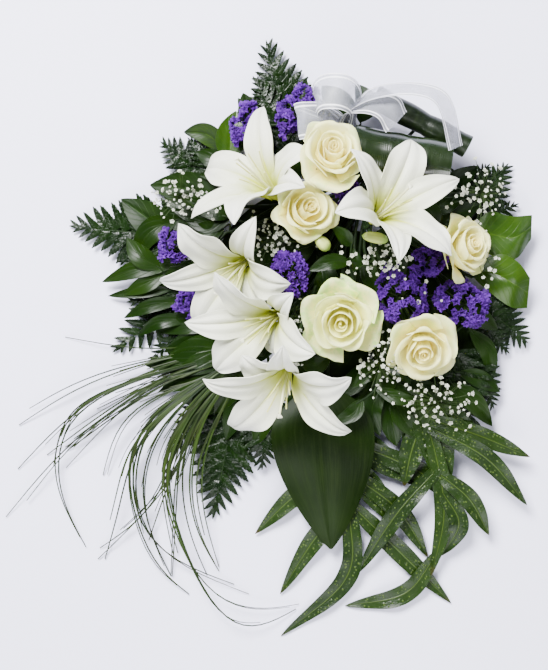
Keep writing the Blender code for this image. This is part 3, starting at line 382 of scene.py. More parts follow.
# Small leaves that fill the bouquet between the blooms, each from its foot to its tip, with its half
# width (mm). Each one grows from the nearest stem.
FILLING_LEAVES = (
    ((296, 112, 20), (300, 96, 24), (307, 80, 18), 9),
    ((208, 216, 14), (188, 207, 16), (164, 196, 8), 15),
    ((204, 228, 12), (180, 220, 14), (152, 216, 8), 13),
    ((378, 370, 22), (364, 384, 26), (352, 404, 20), 11),
    ((372, 384, 20), (366, 404, 22), (372, 426, 14), 10),
    ((250, 362, 24), (262, 352, 30), (278, 346, 24), 9),
    ((438, 224, 40), (430, 210, 46), (418, 196, 42), 10),
    ((262, 130, 20), (250, 115, 24), (238, 98, 18), 10),
    ((300, 176, 34), (296, 164, 40), (290, 150, 36), 9),
    ((178, 262, 22), (140, 268, 24), (102, 282, 12), 11),
    ((168, 272, 20), (145, 284, 22), (123, 295, 12), 10),
    ((160, 268, 24), (140, 256, 26), (127, 238, 16), 12),
    ((205, 262, 22), (180, 275, 24), (150, 282, 14), 13),
    ((222, 320, 22), (190, 322, 22), (158, 332, 10), 14),
    ((232, 212, 18), (208, 222, 20), (182, 218, 14), 13),
    ((240, 160, 20), (222, 172, 22), (200, 176, 14), 12),
    ((318, 236, 40), (296, 256, 44), (286, 236, 40), 10),
    ((330, 292, 34), (316, 300, 40), (302, 290, 38), 11),
    ((318, 252, 34), (330, 280, 40), (336, 300, 34), 10),
    ((388, 330, 34), (384, 350, 40), (376, 372, 34), 11),
    ((420, 300, 30), (440, 322, 32), (452, 348, 24), 12),
    ((402, 384, 30), (430, 392, 34), (452, 408, 24), 11),
    ((392, 392, 28), (404, 420, 30), (424, 440, 20), 11),
    ((300, 380, 26), (296, 404, 30), (284, 424, 22), 11),
    ((384, 380, 28), (372, 410, 32), (380, 436, 22), 11),
    ((250, 372, 24), (230, 392, 26), (214, 414, 16), 12),
    ((470, 330, 24), (488, 352, 24), (492, 382, 14), 10),
    ((348, 176, 40), (352, 196, 44), (346, 214, 38), 9),
    ((330, 355, 30), (314, 366, 36), (300, 354, 32), 10),
    ((396, 372, 26), (400, 402, 26), (392, 432, 16), 13),
    ((408, 376, 26), (424, 402, 26), (428, 432, 18), 14),
    ((440, 380, 24), (446, 404, 26), (440, 430, 20), 13),
    ((372, 360, 26), (352, 384, 28), (330, 392, 24), 12),
    ((418, 392, 24), (412, 420, 26), (404, 446, 16), 12),
    ((452, 384, 26), (474, 402, 26), (492, 426, 14), 12),
    ((460, 372, 26), (482, 380, 24), (500, 392, 14), 10),
    ((236, 352, 20), (206, 366, 22), (178, 372, 10), 16),
    ((240, 362, 18), (214, 384, 22), (190, 410, 10), 15),
    ((236, 340, 20), (200, 338, 22), (164, 352, 8), 15),
    ((250, 380, 16), (236, 410, 22), (226, 440, 14), 14),
    ((262, 392, 20), (262, 420, 22), (256, 446, 16), 13),
    ((182, 300, 16), (150, 306, 20), (124, 318, 8), 8),
    ((196, 318, 16), (160, 322, 20), (138, 336, 6), 8),
    ((170, 290, 14), (140, 292, 16), (108, 296, 6), 7),
    ((176, 220, 14), (150, 232, 18), (132, 262, 10), 14),
    ((236, 176, 16), (214, 160, 20), (196, 152, 12), 12),
    ((268, 160, 18), (262, 132, 20), (256, 104, 10), 12),
    ((360, 262, 40), (372, 280, 44), (378, 300, 38), 10),
    ((404, 250, 36), (396, 272, 40), (384, 286, 36), 10),
    ((350, 128, 30), (338, 104, 34), (322, 86, 26), 17),
    ((360, 122, 24), (366, 102, 28), (356, 84, 18), 13),
    ((430, 212, 30), (448, 200, 32), (470, 186, 20), 13),
    ((436, 226, 26), (458, 214, 28), (480, 204, 18), 13),
    ((440, 190, 26), (458, 180, 28), (478, 166, 16), 12),
    ((236, 210, 20), (214, 208, 24), (186, 204, 14), 14),
    ((225, 226, 18), (205, 232, 20), (184, 232, 10), 12),
    ((388, 362, 28), (384, 384, 30), (372, 402, 22), 13),
    ((400, 350, 24), (396, 376, 26), (386, 398, 18), 16),
    ((392, 392, 22), (392, 420, 24), (396, 446, 14), 15),
    ((432, 400, 22), (446, 424, 24), (470, 440, 16), 14),
    ((238, 346, 22), (200, 352, 26), (164, 362, 12), 19),
    ((250, 366, 20), (226, 388, 24), (204, 416, 12), 18),
    ((250, 360, 22), (222, 380, 24), (182, 428, 8), 15),
    ((246, 356, 20), (206, 372, 24), (158, 392, 6), 15),
    ((244, 350, 20), (196, 362, 24), (146, 366, 6), 15),
    ((246, 372, 16), (214, 394, 18), (182, 402, 8), 16),
    ((330, 268, 36), (324, 282, 40), (316, 300, 34), 11),
    ((300, 318, 34), (312, 332, 38), (318, 352, 30), 10),
    ((280, 232, 34), (274, 246, 38), (266, 264, 30), 10),
    ((452, 300, 26), (478, 316, 28), (498, 330, 18), 12),
)

# Places and curves


def place(column, row, height=0.0):
    """The point that the grid shows at this column and row, at a height in millimetres."""
    spread = (EYE_HEIGHT - height * MM) / (EYE_HEIGHT - GRID_HEIGHT) * GRID_STEP
    return np.array((
        GRID_MIDDLE_PLACE[0] + (column - GRID_MIDDLE[0]) * spread,
        GRID_MIDDLE_PLACE[1] + (GRID_MIDDLE[1] - row) * spread,
        height * MM,
    ))


def places(points):
    """The points that the grid shows at a run of columns, rows and heights."""
    return np.array([place(*point) for point in points])


def unit(vectors):
    """The vectors with a length of one."""
    return vectors / np.maximum(np.linalg.norm(vectors, axis=-1, keepdims=True), 1e-12)


def smooth(low, high, value):
    """0 below low, 1 above high, and a soft step between."""
    share = np.clip((np.asarray(value, float) - low) / (high - low), 0, 1)
    return share * share * (3 - 2 * share)


def direction(tilt, heading):
    """The unit vector that leans tilt degrees from the vertical towards a heading."""
    lean, turn = math.radians(tilt), math.radians(heading)
    return np.array((math.sin(lean) * math.cos(turn), math.sin(lean) * math.sin(turn), math.cos(lean)))


def frame_of(origin, x, y, z):
    """A 4 by 4 frame from its origin and axes."""
    matrix = np.eye(4)
    matrix[:3, 0], matrix[:3, 1], matrix[:3, 2], matrix[:3, 3] = x, y, z, origin
    return matrix


def bloom_frame(origin, tilt, heading):
    """A frame whose +Z is the bloom's axis and whose +X is the side that the axis leans to."""
    axis, side = direction(tilt, heading), direction(tilt + 90, heading)
    return frame_of(origin, side, np.cross(axis, side), axis)


def level_frame(origin, turn):
    """A frame that lies level, turned about the vertical."""
    c, s = math.cos(turn), math.sin(turn)
    return frame_of(origin, (c, s, 0), (-s, c, 0), UP)


def aimed(origin, aim, turn=0.0, size=1.0):
    """A frame whose +Z points along aim, turned about it and scaled."""
    aim = unit(np.asarray(aim, float))
    other = np.array((1.0, 0, 0)) if abs(aim[0]) < 0.8 else np.array((0, 1.0, 0))
    x = unit(np.cross(other, aim))
    y = np.cross(aim, x)
    c, s = math.cos(turn), math.sin(turn)
    return frame_of(origin, (x * c + y * s) * size, (y * c - x * s) * size, aim * size)


def curve_at(points, t):
    """The points at t, from 0 to 1, on a smooth curve through the points."""
    points, t = np.asarray(points, float), np.clip(np.asarray(t, float), 0, 1)
    count = len(points) - 1
    step = np.minimum((t * count).astype(int), count - 1)
    part = (t * count - step)[..., None]
    held = np.vstack([2 * points[0] - points[1], points, 2 * points[-1] - points[-2]])
    before, a, b, after = (held[step + index] for index in range(4))
    return 0.5 * (2 * a + (b - before) * part + (2 * before - 5 * a + 4 * b - after) * part**2
                  + (3 * a - before - 3 * b + after) * part**3)


def leaf_frames(points, t):
    """The middle, sideways, face and forward directions of a leaf that runs along the curve."""
    t = np.asarray(t, float)
    ahead = unit(curve_at(points, t + 0.01) - curve_at(points, t - 0.01))
    side = unit(np.cross(ahead, UP))
    return curve_at(points, t), side, np.cross(side, ahead), ahead


def turns_of(matrix):
    """The turns about X, Y and Z of a frame."""
    r = matrix[:3, :3]
    middle = math.asin(max(-1.0, min(1.0, -r[2, 0])))
    return math.atan2(r[2, 1], r[2, 2]), middle, math.atan2(r[1, 0], r[0, 0])


def sides_along(ahead, across):
    """Sideways and face directions along a run, carried on from across without a twist."""
    sides = []
    for step in ahead:
        across = unit(across - step * np.dot(across, step))
        sides.append(across)
    return np.array(sides), np.cross(sides, ahead)


def nearest(spots, goal):
    """The one of the spots that lies nearest to the goal."""
    return spots[np.argmin(np.linalg.norm(spots - goal, axis=1))]


def run_length(points):
    """The length of a run of points, from the first to the last."""
    return float(np.linalg.norm(np.diff(np.asarray(points), axis=0), axis=1).sum())


def draws(name):
    """The random numbers of the piece called name, the same in each run."""
    return np.random.default_rng(sum(map(ord, name)))


def outline(along, fullest=0.45, tip=0.03, base=0.12, swelling=0.8):
    """Share of a pointed leaf's half width at a place along it."""
    swell = np.sin(0.5 * np.pi * np.clip(along / fullest, 0, 1))
    narrow = np.cos(0.5 * np.pi * np.clip((along - fullest) / (1 - fullest), 0, 1))
    return np.where(along < fullest, base + (1 - base) * swell**swelling,
                    tip + (1 - tip) * np.maximum(narrow, 0) ** 0.85)


# Sheets, tubes and copies

Cut = collections.namedtuple("Cut", "places faces uvs tints finishes")
Cut.__doc__ = "Shaped cells: places, four corners a face, a UV a corner, a tint a place, a finish a face."
GRIDS = {}


def flat_grid(across, along):
    """A flat grid from -1 to 1, modelled once for each number of cells."""
    if (across, along) not in GRIDS:
        bpy.ops.object.select_all(action="DESELECT")
        bpy.ops.mesh.primitive_grid_add(x_subdivisions=across, y_subdivisions=along, size=2)
        made = bpy.context.object
        mesh = made.data
        spots = np.empty(len(mesh.vertices) * 3)
        mesh.vertices.foreach_get("co", spots)
        corners = np.empty(len(mesh.loops), int)
        mesh.loops.foreach_get("vertex_index", corners)
        uvs = np.empty(len(mesh.loops) * 2)
        mesh.uv_layers[0].uv.foreach_get("vector", uvs)
        GRIDS[across, along] = spots.reshape(-1, 3), corners.reshape(-1, 4), uvs.reshape(-1, 4, 2)
        bpy.data.objects.remove(made)
        bpy.data.meshes.remove(mesh)
    return GRIDS[across, along]


def sheet(surface, cells, tint=0.0, finish=0):
    """A grid laid over surface(across, along), across from -1 to 1 and along from 0 to 1."""
    spots, faces, uvs = flat_grid(*cells)
    shaped = surface(spots[:, 0], (spots[:, 1] + 1) / 2)
    return Cut(shaped, faces, uvs, np.full(len(spots), float(tint)), np.full(len(faces), finish))


def tube(points, radii, sides=6, tint=0.0, finish=0, flat=1.0, side=None, lobes=(0, 0.0)):
    """A grid rolled round a run of points and closed at both ends.

    flat is the section's thickness as a share of its width, which side points across.
    """
    points = np.asarray(points, float)
    radii = np.broadcast_to(np.asarray(radii, float), len(points))
    ahead = unit(np.gradient(points, axis=0))
    if side is None:
        side = np.cross(ahead[0], UP if abs(ahead[0][2]) < 0.9 else (1.0, 0, 0))
    sides_at, faces_at = sides_along(ahead, side)
    spots, faces, uvs = flat_grid(sides, len(points) + 1)
    turn = -(spots[:, 0] + 1) * np.pi
    row = np.rint((spots[:, 1] + 1) / 2 * (len(points) + 1)).astype(int)
    at = np.clip(row - 1, 0, len(points) - 1)
    reach = np.where((row == 0) | (row == len(points) + 1), 0.0, radii[at])
    reach = reach * (1 + lobes[1] * np.cos(lobes[0] * turn))
    shaped = (points[at] + sides_at[at] * (reach * np.cos(turn))[:, None]
              + faces_at[at] * (reach * flat * np.sin(turn))[:, None])
    return Cut(shaped, faces, uvs, np.full(len(spots), float(tint)), np.full(len(faces), finish))


def branch(points, first, last, count, *section, **shape):
    """A tube along the smooth curve through the points, tapered from one radius to another (mm)."""
    route = curve_at(points, np.linspace(0, 1, count))
    return tube(route, np.linspace(first, last, count) * MM, *section, **shape)


def together(cuts):
    """Several cuts as one."""
    starts = np.cumsum([0] + [len(cut.places) for cut in cuts[:-1]])
    shifted = [cut._replace(faces=cut.faces + start) for cut, start in zip(cuts, starts)]
    return Cut(*(np.concatenate(column) for column in zip(*shifted)))


def moved(cut, matrix, tint=None):
    """A copy of the cut in another frame, with its faces still pointing out if it is mirrored."""
    spots = cut.places @ matrix[:3, :3].T + matrix[:3, 3]
    mirrored = np.linalg.det(matrix[:3, :3]) < 0
    faces, uvs = (cut.faces[:, ::-1], cut.uvs[:, ::-1]) if mirrored else (cut.faces, cut.uvs)
    return Cut(spots, faces, uvs, cut.tints if tint is None else cut.tints * 0 + tint, cut.finishes)


def only(obj):
    """Selects this object alone."""
    bpy.ops.object.select_all(action="DESELECT")
    obj.select_set(True)
    bpy.context.view_layer.objects.active = obj


def solid_piece(name, cuts, finishes, thickness=0.0, angle=50.0):
    """One mesh from the cuts, with its seams welded, and given a thickness where it has one."""
    cut = together(cuts)
    mesh = bpy.data.meshes.new(name)
    mesh.vertices.add(len(cut.places))
    mesh.vertices.foreach_set("co", cut.places.ravel())
    mesh.loops.add(cut.faces.size)
    mesh.loops.foreach_set("vertex_index", cut.faces.ravel())
    mesh.polygons.add(len(cut.faces))
    mesh.polygons.foreach_set("loop_start", np.arange(0, cut.faces.size, 4))
    mesh.update(calc_edges=True)
    mesh.uv_layers.new(name="UVMap").uv.foreach_set("vector", cut.uvs.ravel())
    mesh.attributes.new("tint", "FLOAT", "POINT").data.foreach_set("value", cut.tints)
    mesh.polygons.foreach_set("material_index", cut.finishes)
    for finish in finishes:
        mesh.materials.append(finish)
    obj = bpy.data.objects.new(name, mesh)
    bpy.context.scene.collection.objects.link(obj)
    only(obj)
    if thickness:
        solid = obj.modifiers.new("Thickness", "SOLIDIFY")
        solid.thickness, solid.offset = thickness, 0
        bpy.ops.object.modifier_apply(modifier=solid.name)
    bpy.ops.object.mode_set(mode="EDIT")
    bpy.ops.mesh.select_all(action="SELECT")
    bpy.ops.mesh.remove_doubles(threshold=0.002 * MM)
    bpy.ops.object.mode_set(mode="OBJECT")
    bpy.ops.object.shade_smooth_by_angle(angle=math.radians(angle))
    return obj


def joined(name, pieces):
    """The pieces as one object."""
    only(pieces[0])
    for piece in pieces[1:]:
        piece.select_set(True)
    if len(pieces) > 1:
        bpy.ops.object.join()
    pieces[0].name = pieces[0].data.name = name
    return pieces[0]


def ride_along(piece):
    """The piece rides with the bouquet, whose only body is its root."""
    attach(piece, "root")


def stand_for(piece, node):
    """The piece takes the place of a plain node and rides with it."""
    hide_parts(node)
    ride_along(piece)


# Finishes


class Wire:
    """The output of a shader node. Arithmetic with it adds Math nodes to the same tree."""

    def __init__(self, socket):
        self.socket = socket

    def math(self, operation, first, second=0.0):
        made = node(self.socket.id_data, "Math", {"operation": operation})
        feed(made.inputs[0], first)
        feed(made.inputs[1], second)
        return Wire(made.outputs[0])

    def __add__(self, other):
        return self.math("ADD", self, other)

    def __sub__(self, other):
        return self.math("SUBTRACT", self, other)

    def __rsub__(self, other):
        return self.math("SUBTRACT", other, self)

    def __mul__(self, other):
        return self.math("MULTIPLY", self, other)

    def __pow__(self, other):
        return self.math("POWER", self, other)

    def __abs__(self):
        return self.math("ABSOLUTE", self)

    def clamped(self):
        """The same sum, kept between 0 and 1."""
        self.socket.node.use_clamp = True
        return self


def feed(socket, value):
    """Sets an input, or links another node's output to it."""
    if isinstance(value, Wire):
        socket.id_data.links.new(value.socket, socket)
    elif socket.type == "RGBA" and len(value) == 3:
        socket.default_value = (*value, 1)
    else:
        socket.default_value = value


def node(tree, kind, settings=(), **inputs):
    """A new shader node with its settings made and its inputs fed."""
    made = tree.nodes.new("ShaderNode" + kind)
    for key, value in dict(settings).items():
        setattr(made, key, value)
    for key, value in inputs.items():
        feed(made.inputs[key.replace("_", " ")], value)
    return made


def mixed(factor, first, second):
    """The first colour where the factor is 0, and the second where it is 1."""
    made = node(factor.socket.id_data, "Mix", {"data_type": "RGBA"})
    for index, value in zip((0, 6, 7), (factor, first, second)):
        feed(made.inputs[index], value)
    return Wire(made.outputs[2])


def step_of(value, low, high, start=0.0, end=1.0):
    """A soft step: start below low and end above high."""
    made = node(value.socket.id_data, "MapRange", {"interpolation_type": "SMOOTHSTEP"}, Value=value,
                From_Min=low, From_Max=high, To_Min=start, To_Max=end)
    return Wire(made.outputs["Result"])


def own_coordinates(tree):
    """The places of a piece's own points, as its patterns read them."""
    return Wire(node(tree, "TexCoord").outputs["Object"])


def blade_coordinates(tree):
    """Across the blade and along it, each from 0 to 1."""
    spot = Wire(node(tree, "UVMap", {"uv_map": "UVMap"}).outputs[0])
    split = node(tree, "SeparateXYZ", Vector=spot)
    return Wire(split.outputs[0]), Wire(split.outputs[1])


def from_midrib(across):
    """How far a place lies from the middle of its blade: 0 there, and 1 at either edge."""
    return abs(across - 0.5) * 2.0


def tint_of(tree):
    """The tint that each cut was given, from 0 to 1."""
    return Wire(node(tree, "Attribute", {"attribute_name": "tint"}).outputs["Fac"])


def cloud(tree, scale, detail=3.0, vector=None, roughness=0.55):
    """Soft noise, over the piece's own places if no vector is given."""
    return Wire(node(tree, "TexNoise", Vector=vector or own_coordinates(tree), Scale=scale,
                     Detail=detail, Roughness=roughness).outputs["Fac"])


def dots(tree, scale, scatter):
    """How far a place lies from the nearest of many dots."""
    return Wire(node(tree, "TexVoronoi", {"feature": "F1"}, Vector=own_coordinates(tree),
                     Scale=scale, Randomness=scatter).outputs["Distance"])


def new_group(name, inputs, outputs):
    """A node group with named sockets: (name, kind, default) in, and (name, kind) out."""
    tree = bpy.data.node_groups.new(name, "ShaderNodeTree")
    for label, kind, default in inputs:
        tree.interface.new_socket(label, in_out="INPUT", socket_type=kind).default_value = default
    for label, kind in outputs:
        tree.interface.new_socket(label, in_out="OUTPUT", socket_type=kind)
    entry = tree.nodes.new("NodeGroupInput").outputs
    return tree, lambda label: Wire(entry[label]), tree.nodes.new("NodeGroupOutput").inputs


def group(tree, name, **inputs):
    """The outputs of a node group, placed with its own values."""
    made = node(tree, "Group", {"node_tree": bpy.data.node_groups[name]}, **inputs)
    return {socket.name: Wire(socket) for socket in made.outputs}


def patchy(tree, colour, other, scale, patches, tint_share):
    """A colour in uneven patches with another, more of it where the tint is higher."""
    return group(tree, "Patchy Colour", Colour=colour, Other_Colour=other, Scale=scale,
                 Patches=patches, Tint_Share=tint_share)["Colour"]


def grain_of(tree, scale):
    """The fine unevenness of a petal, leaf or board, as a height."""
    return group(tree, "Fine Grain", Scale=scale)["Height"]


def make_groups():
    """The effects that several finishes share."""
    number, colour = "NodeSocketFloat", "NodeSocketColor"
    tree, taken, given = new_group(
        "Patchy Colour",
        (("Colour", colour, (1, 1, 1, 1)), ("Other Colour", colour, (1, 1, 1, 1)),
         ("Scale", number, 60.0), ("Patches", number, 1.0), ("Tint Share", number, 0.5)),
        (("Colour", colour),))
    patches = (cloud(tree, taken("Scale")) - 0.5) * taken("Patches")
    share = (patches + tint_of(tree) * taken("Tint Share")).clamped()
    feed(given["Colour"], mixed(share, taken("Colour"), taken("Other Colour")))

    tree, taken, given = new_group(
        "Leaf Veins",
        (("Count", number, 9.0), ("Slant", number, 0.35), ("Midrib Width", number, 0.06),
         ("Vein Width", number, 0.16)),
        (("Midrib", number), ("Veins", number), ("Height", number)))
    across, along = blade_coordinates(tree)
    away = from_midrib(across)
    midrib = step_of(away, 0.0, taken("Midrib Width"), 1.0, 0.0)
    line = (along - away**0.8 * taken("Slant")) * taken("Count")
    veins = step_of(abs(line.math("FRACT", line) - 0.5), 0.0, taken("Vein Width"), 1.0, 0.0)
    feed(given["Midrib"], midrib)
    feed(given["Veins"], veins)
    feed(given["Height"], 1.0 - (midrib + veins * 0.45))

    tree, taken, given = new_group(
        "Long Ribs",
        (("Count", number, 40.0), ("Waver", number, 0.02)),
        (("Ribs", number), ("Streaks", number)))
    across, along = blade_coordinates(tree)
    slow = Wire(node(tree, "CombineXYZ", X=across * 2.0, Y=along * 1.2).outputs[0])
    line = (across + cloud(tree, 3.0, 2.0, slow) * taken("Waver")) * taken("Count")
    turn = line * math.tau
    feed(given["Ribs"], turn.math("SINE", turn) * 0.5 + 0.5)
    thin = Wire(node(tree, "CombineXYZ", X=line * 0.6, Y=along * 2.5).outputs[0])
    feed(given["Streaks"], cloud(tree, 1.0, 3.0, thin, 0.65))

    tree, taken, given = new_group(
        "Fine Grain", (("Scale", number, 900.0), ("Coarse Share", number, 0.5)), (("Height", number),))
    fine, coarse = cloud(tree, taken("Scale"), 2.0), cloud(tree, taken("Scale") * 0.12)
    feed(given["Height"], fine + coarse * taken("Coarse Share"))


def dress(tree, colour, roughness, height, strength, depth, **plain):
    """Feeds the shader its colour, roughness, a bump of some depth (mm) and its plain numbers."""
    shader = tree.nodes["Principled BSDF"]
    feed(shader.inputs["Base Color"], colour)
    feed(shader.inputs["Roughness"], roughness)
    bump = node(tree, "Bump", Strength=strength, Distance=depth * MM, Height=height)
    feed(shader.inputs["Normal"], Wire(bump.outputs[0]))
    for key, value in plain.items():
        feed(shader.inputs[key.replace("_", " ")], value)


def lily_finish(tree, petal, shade, throat):
    """Waxy white petals, green-yellow towards the throat along the midrib, with fine long veins."""
    across, along = blade_coordinates(tree)
    ribs = group(tree, "Long Ribs", Count=26.0, Waver=0.05)
    # Painted shade: greyer streaks along the veins and greyer patches, more on some petals than on others.
    white = mixed(ribs["Streaks"] * 0.35, patchy(tree, petal, shade, 28.0, 0.9, 0.5), shade)
    rib = step_of(from_midrib(across), 0.0, 0.13, 1.0, 0.0)
    green = rib * step_of(along, 0.1, 0.75, 1.0, 0.0)
    deep = step_of(along, 0.08, 0.46, 0.8, 0.0)
    soft = step_of(along, 0.2, 0.95, 0.26, 0.0)
    share = (green * 0.75 + (deep + soft)).clamped()
    dress(tree, mixed(share, white, throat), 0.42, ribs["Ribs"] * 0.5 + ribs["Streaks"], 0.6, 0.4,
          Subsurface_Weight=0.1, Subsurface_Radius=(0.006, 0.006, 0.005), Subsurface_Scale=1.0,
          Specular_IOR_Level=0.3)


def rose_finish(tree, cream, heart, outer):
    """Soft petals whose colour deepens towards the heart of the bloom, and fades at the outside."""
    _, along = blade_coordinates(tree)
    tint = tint_of(tree)
    streaks = group(tree, "Long Ribs", Count=34.0, Waver=0.08)["Streaks"]
    inner = step_of(tint, 0.0, 0.42, 1.0, 0.0)
    # Deeper yellow towards each petal's foot: partly the rose's own colour, partly a painted warm glow in the
    # cavities between the petals.
    low = step_of(along, 0.3, 0.9, 1.0, 0.0)
    colour = mixed((inner * 0.55 + low * 0.6).clamped(), cream, heart)
    late = step_of(tint, 0.72, 1.0) * step_of(cloud(tree, 70.0), 0.42, 0.66)
    colour = mixed(streaks * 0.16, mixed(late, colour, outer), outer)
    # The faint emission is a painted glow: the petals give out a little warm light of their own, in place of
    # light that passes through them.
    dress(tree, colour, 0.55, streaks + grain_of(tree, 700.0), 0.25, 0.3, Subsurface_Weight=0.5,
          Subsurface_Radius=(0.014, 0.012, 0.006), Subsurface_Scale=1.0, Specular_IOR_Level=0.3,
          Sheen_Weight=0.15, Emission_Color=(0.9, 0.86, 0.30, 1.0), Emission_Strength=0.06)


def floret_finish(tree, colour, other, edge, edge_from=0.8, roughness=0.7, patches=1.4):
    """Thin crinkled florets, paler or deeper from one to the next, with a lighter rim."""
    _, along = blade_coordinates(tree)
    mix = patchy(tree, colour, other, 160.0, patches, 0.75)
    mix = mixed(step_of(along, edge_from, 1.0) * 0.6, mix, edge)
    dress(tree, mix, roughness, grain_of(tree, 1100.0), 0.5, 0.3, Specular_IOR_Level=0.3)


def leaf_finish(tree, colour, other, vein, count=8.0, slant=0.34, roughness=0.42, midrib=0.05,
                vein_share=0.35, coat=0.01, gloss=0.1):
    """A glossy blade with a midrib, side veins that arch towards the tip, and uneven greens."""
    veins = group(tree, "Leaf Veins", Count=count, Slant=slant, Midrib_Width=midrib, Vein_Width=0.12)
    marks = (veins["Midrib"] + veins["Veins"] * vein_share).clamped()
    green = mixed(marks * 0.7, patchy(tree, colour, other, 45.0, 1.2, 0.6), vein)
    grain = grain_of(tree, 420.0)
    dress(tree, green, grain * 0.14 + (roughness - 0.1), veins["Height"] + grain * 0.35, 0.5, 0.5,
          Coat_Weight=coat, Coat_Roughness=0.25, Specular_IOR_Level=gloss)


def striped_finish(tree, colour, other, stripe, count=38.0, roughness=0.32, stripe_share=0.5, gloss=0.08):
    """A long blade with parallel ribs and fine lengthwise streaks, duller between them."""
    ribs = group(tree, "Long Ribs", Count=count, Waver=0.03)
    streaks = step_of(ribs["Streaks"], 0.45, 0.75)
    green = mixed(streaks * stripe_share, patchy(tree, colour, other, 26.0, 1.3, 0.6), stripe)
    dress(tree, green, ribs["Streaks"] * 0.3 + (roughness - 0.1), ribs["Ribs"] + ribs["Streaks"] * 1.2,
          0.2, 0.3, Specular_IOR_Level=gloss)


def pocked_finish(tree, colour, other, pale, dry):
    """A leathery frond with a raised midrib and rows of pale pocks, browner at its tips."""
    across, along = blade_coordinates(tree)
    away = from_midrib(across)
    row = step_of(away, 0.2, 0.4) * step_of(away, 0.72, 0.9, 1.0, 0.0)
    pocks = step_of(dots(tree, 270.0, 0.9), 0.2, 0.36, 1.0, 0.0) * row
    rib = step_of(away, 0.02, 0.1, 1.0, 0.0)
    marks = (rib * 0.35 + pocks * 0.5).clamped()
    green = mixed(marks, patchy(tree, colour, other, 40.0, 1.3, 0.5), pale)
    tips = step_of(along, 0.93, 1.0) * step_of(cloud(tree, 30.0), 0.4, 0.6)
    height = pocks * 0.8 + (rib + grain_of(tree, 500.0))
    dress(tree, mixed(tips * 0.7, green, dry), 0.32, height, 0.7, 0.7, Specular_IOR_Level=0.2)


def blade_finish(tree, colour, other, tip):
    """Grass blades: dark green at the foot, uneven greens along them and olive towards the tips."""
    _, along = blade_coordinates(tree)
    green = patchy(tree, colour, other, 30.0, 1.0, 0.9)
    green = mixed(step_of(along, 0.06, 0.42, 0.9, 0.0), green, colour)
    green = mixed(step_of(along, 0.45, 1.0) * 0.75, green, tip)
    dress(tree, green, 0.42, grain_of(tree, 800.0), 0.3, 0.2, Specular_IOR_Level=0.18)


def stem_finish(tree, colour, other):
    """Round green stems, mottled and faintly rough."""
    green = patchy(tree, colour, other, 110.0, 1.2, 0.6)
    dress(tree, green, 0.5, cloud(tree, 600.0), 0.35, 0.3, Specular_IOR_Level=0.15)


def bud_finish(tree, pale, green):
    """A closed pale bud with long ribs, green at both ends."""
    _, along = blade_coordinates(tree)
    ribs = group(tree, "Long Ribs", Count=9.0, Waver=0.04)
    ends = (step_of(along, 0.1, 0.45, 1.0, 0.0) + step_of(along, 0.8, 0.95)).clamped()
    share = (ends + ribs["Streaks"] * 0.5).clamped()
    dress(tree, mixed(share * 0.8, pale, green), 0.45, ribs["Ribs"], 0.5, 0.4, Specular_IOR_Level=0.3)


def organza_finish(tree, cloth, shade, satin):
    """Sheer woven ribbon: a fine open weave that lets the flowers show, with satin lines."""
    across, _ = blade_coordinates(tree)
    away = from_midrib(across)
    line = step_of(abs(away - 0.78), 0.03, 0.06, 1.0, 0.0)
    lines = line.math("MAXIMUM", line, step_of(away, 0.94, 0.97))
    weave = dots(tree, 1500.0, 0.3)
    open_weave = cloud(tree, 40.0, 2.0) * 0.25 + 0.22 + weave * 0.15
    alpha = lines.math("MAXIMUM", open_weave, lines * 0.85).clamped()
    # Painted shade: darker patches of the cloth, more of them on the later loops.
    colour = mixed(lines, patchy(tree, cloth, shade, 50.0, 0.8, 0.3), satin)
    dress(tree, colour, 0.42, weave, 0.3, 0.15, Sheen_Weight=0.15, Alpha=alpha)


def tie_finish(tree, colour, other):
    """Rough green twine, twisted from fine strands."""
    across, along = blade_coordinates(tree)
    turn = (along * 260.0 + across * 3.0) * math.tau
    strands = turn.math("SINE", turn) * 0.5 + 0.5
    green = mixed(strands * 0.35, colour, patchy(tree, colour, other, 200.0, 1.0, 0.5))
    dress(tree, green, 0.8, strands, 0.6, 0.3)


def floor_finish(tree, colour, other):
    """A plain pale sheet of board with a faint unevenness."""
    shade = patchy(tree, colour, other, 1.2, 0.6, 0.0)
    dress(tree, shade, 0.75, grain_of(tree, 300.0), 0.05, 0.1, Specular_IOR_Level=0.2)


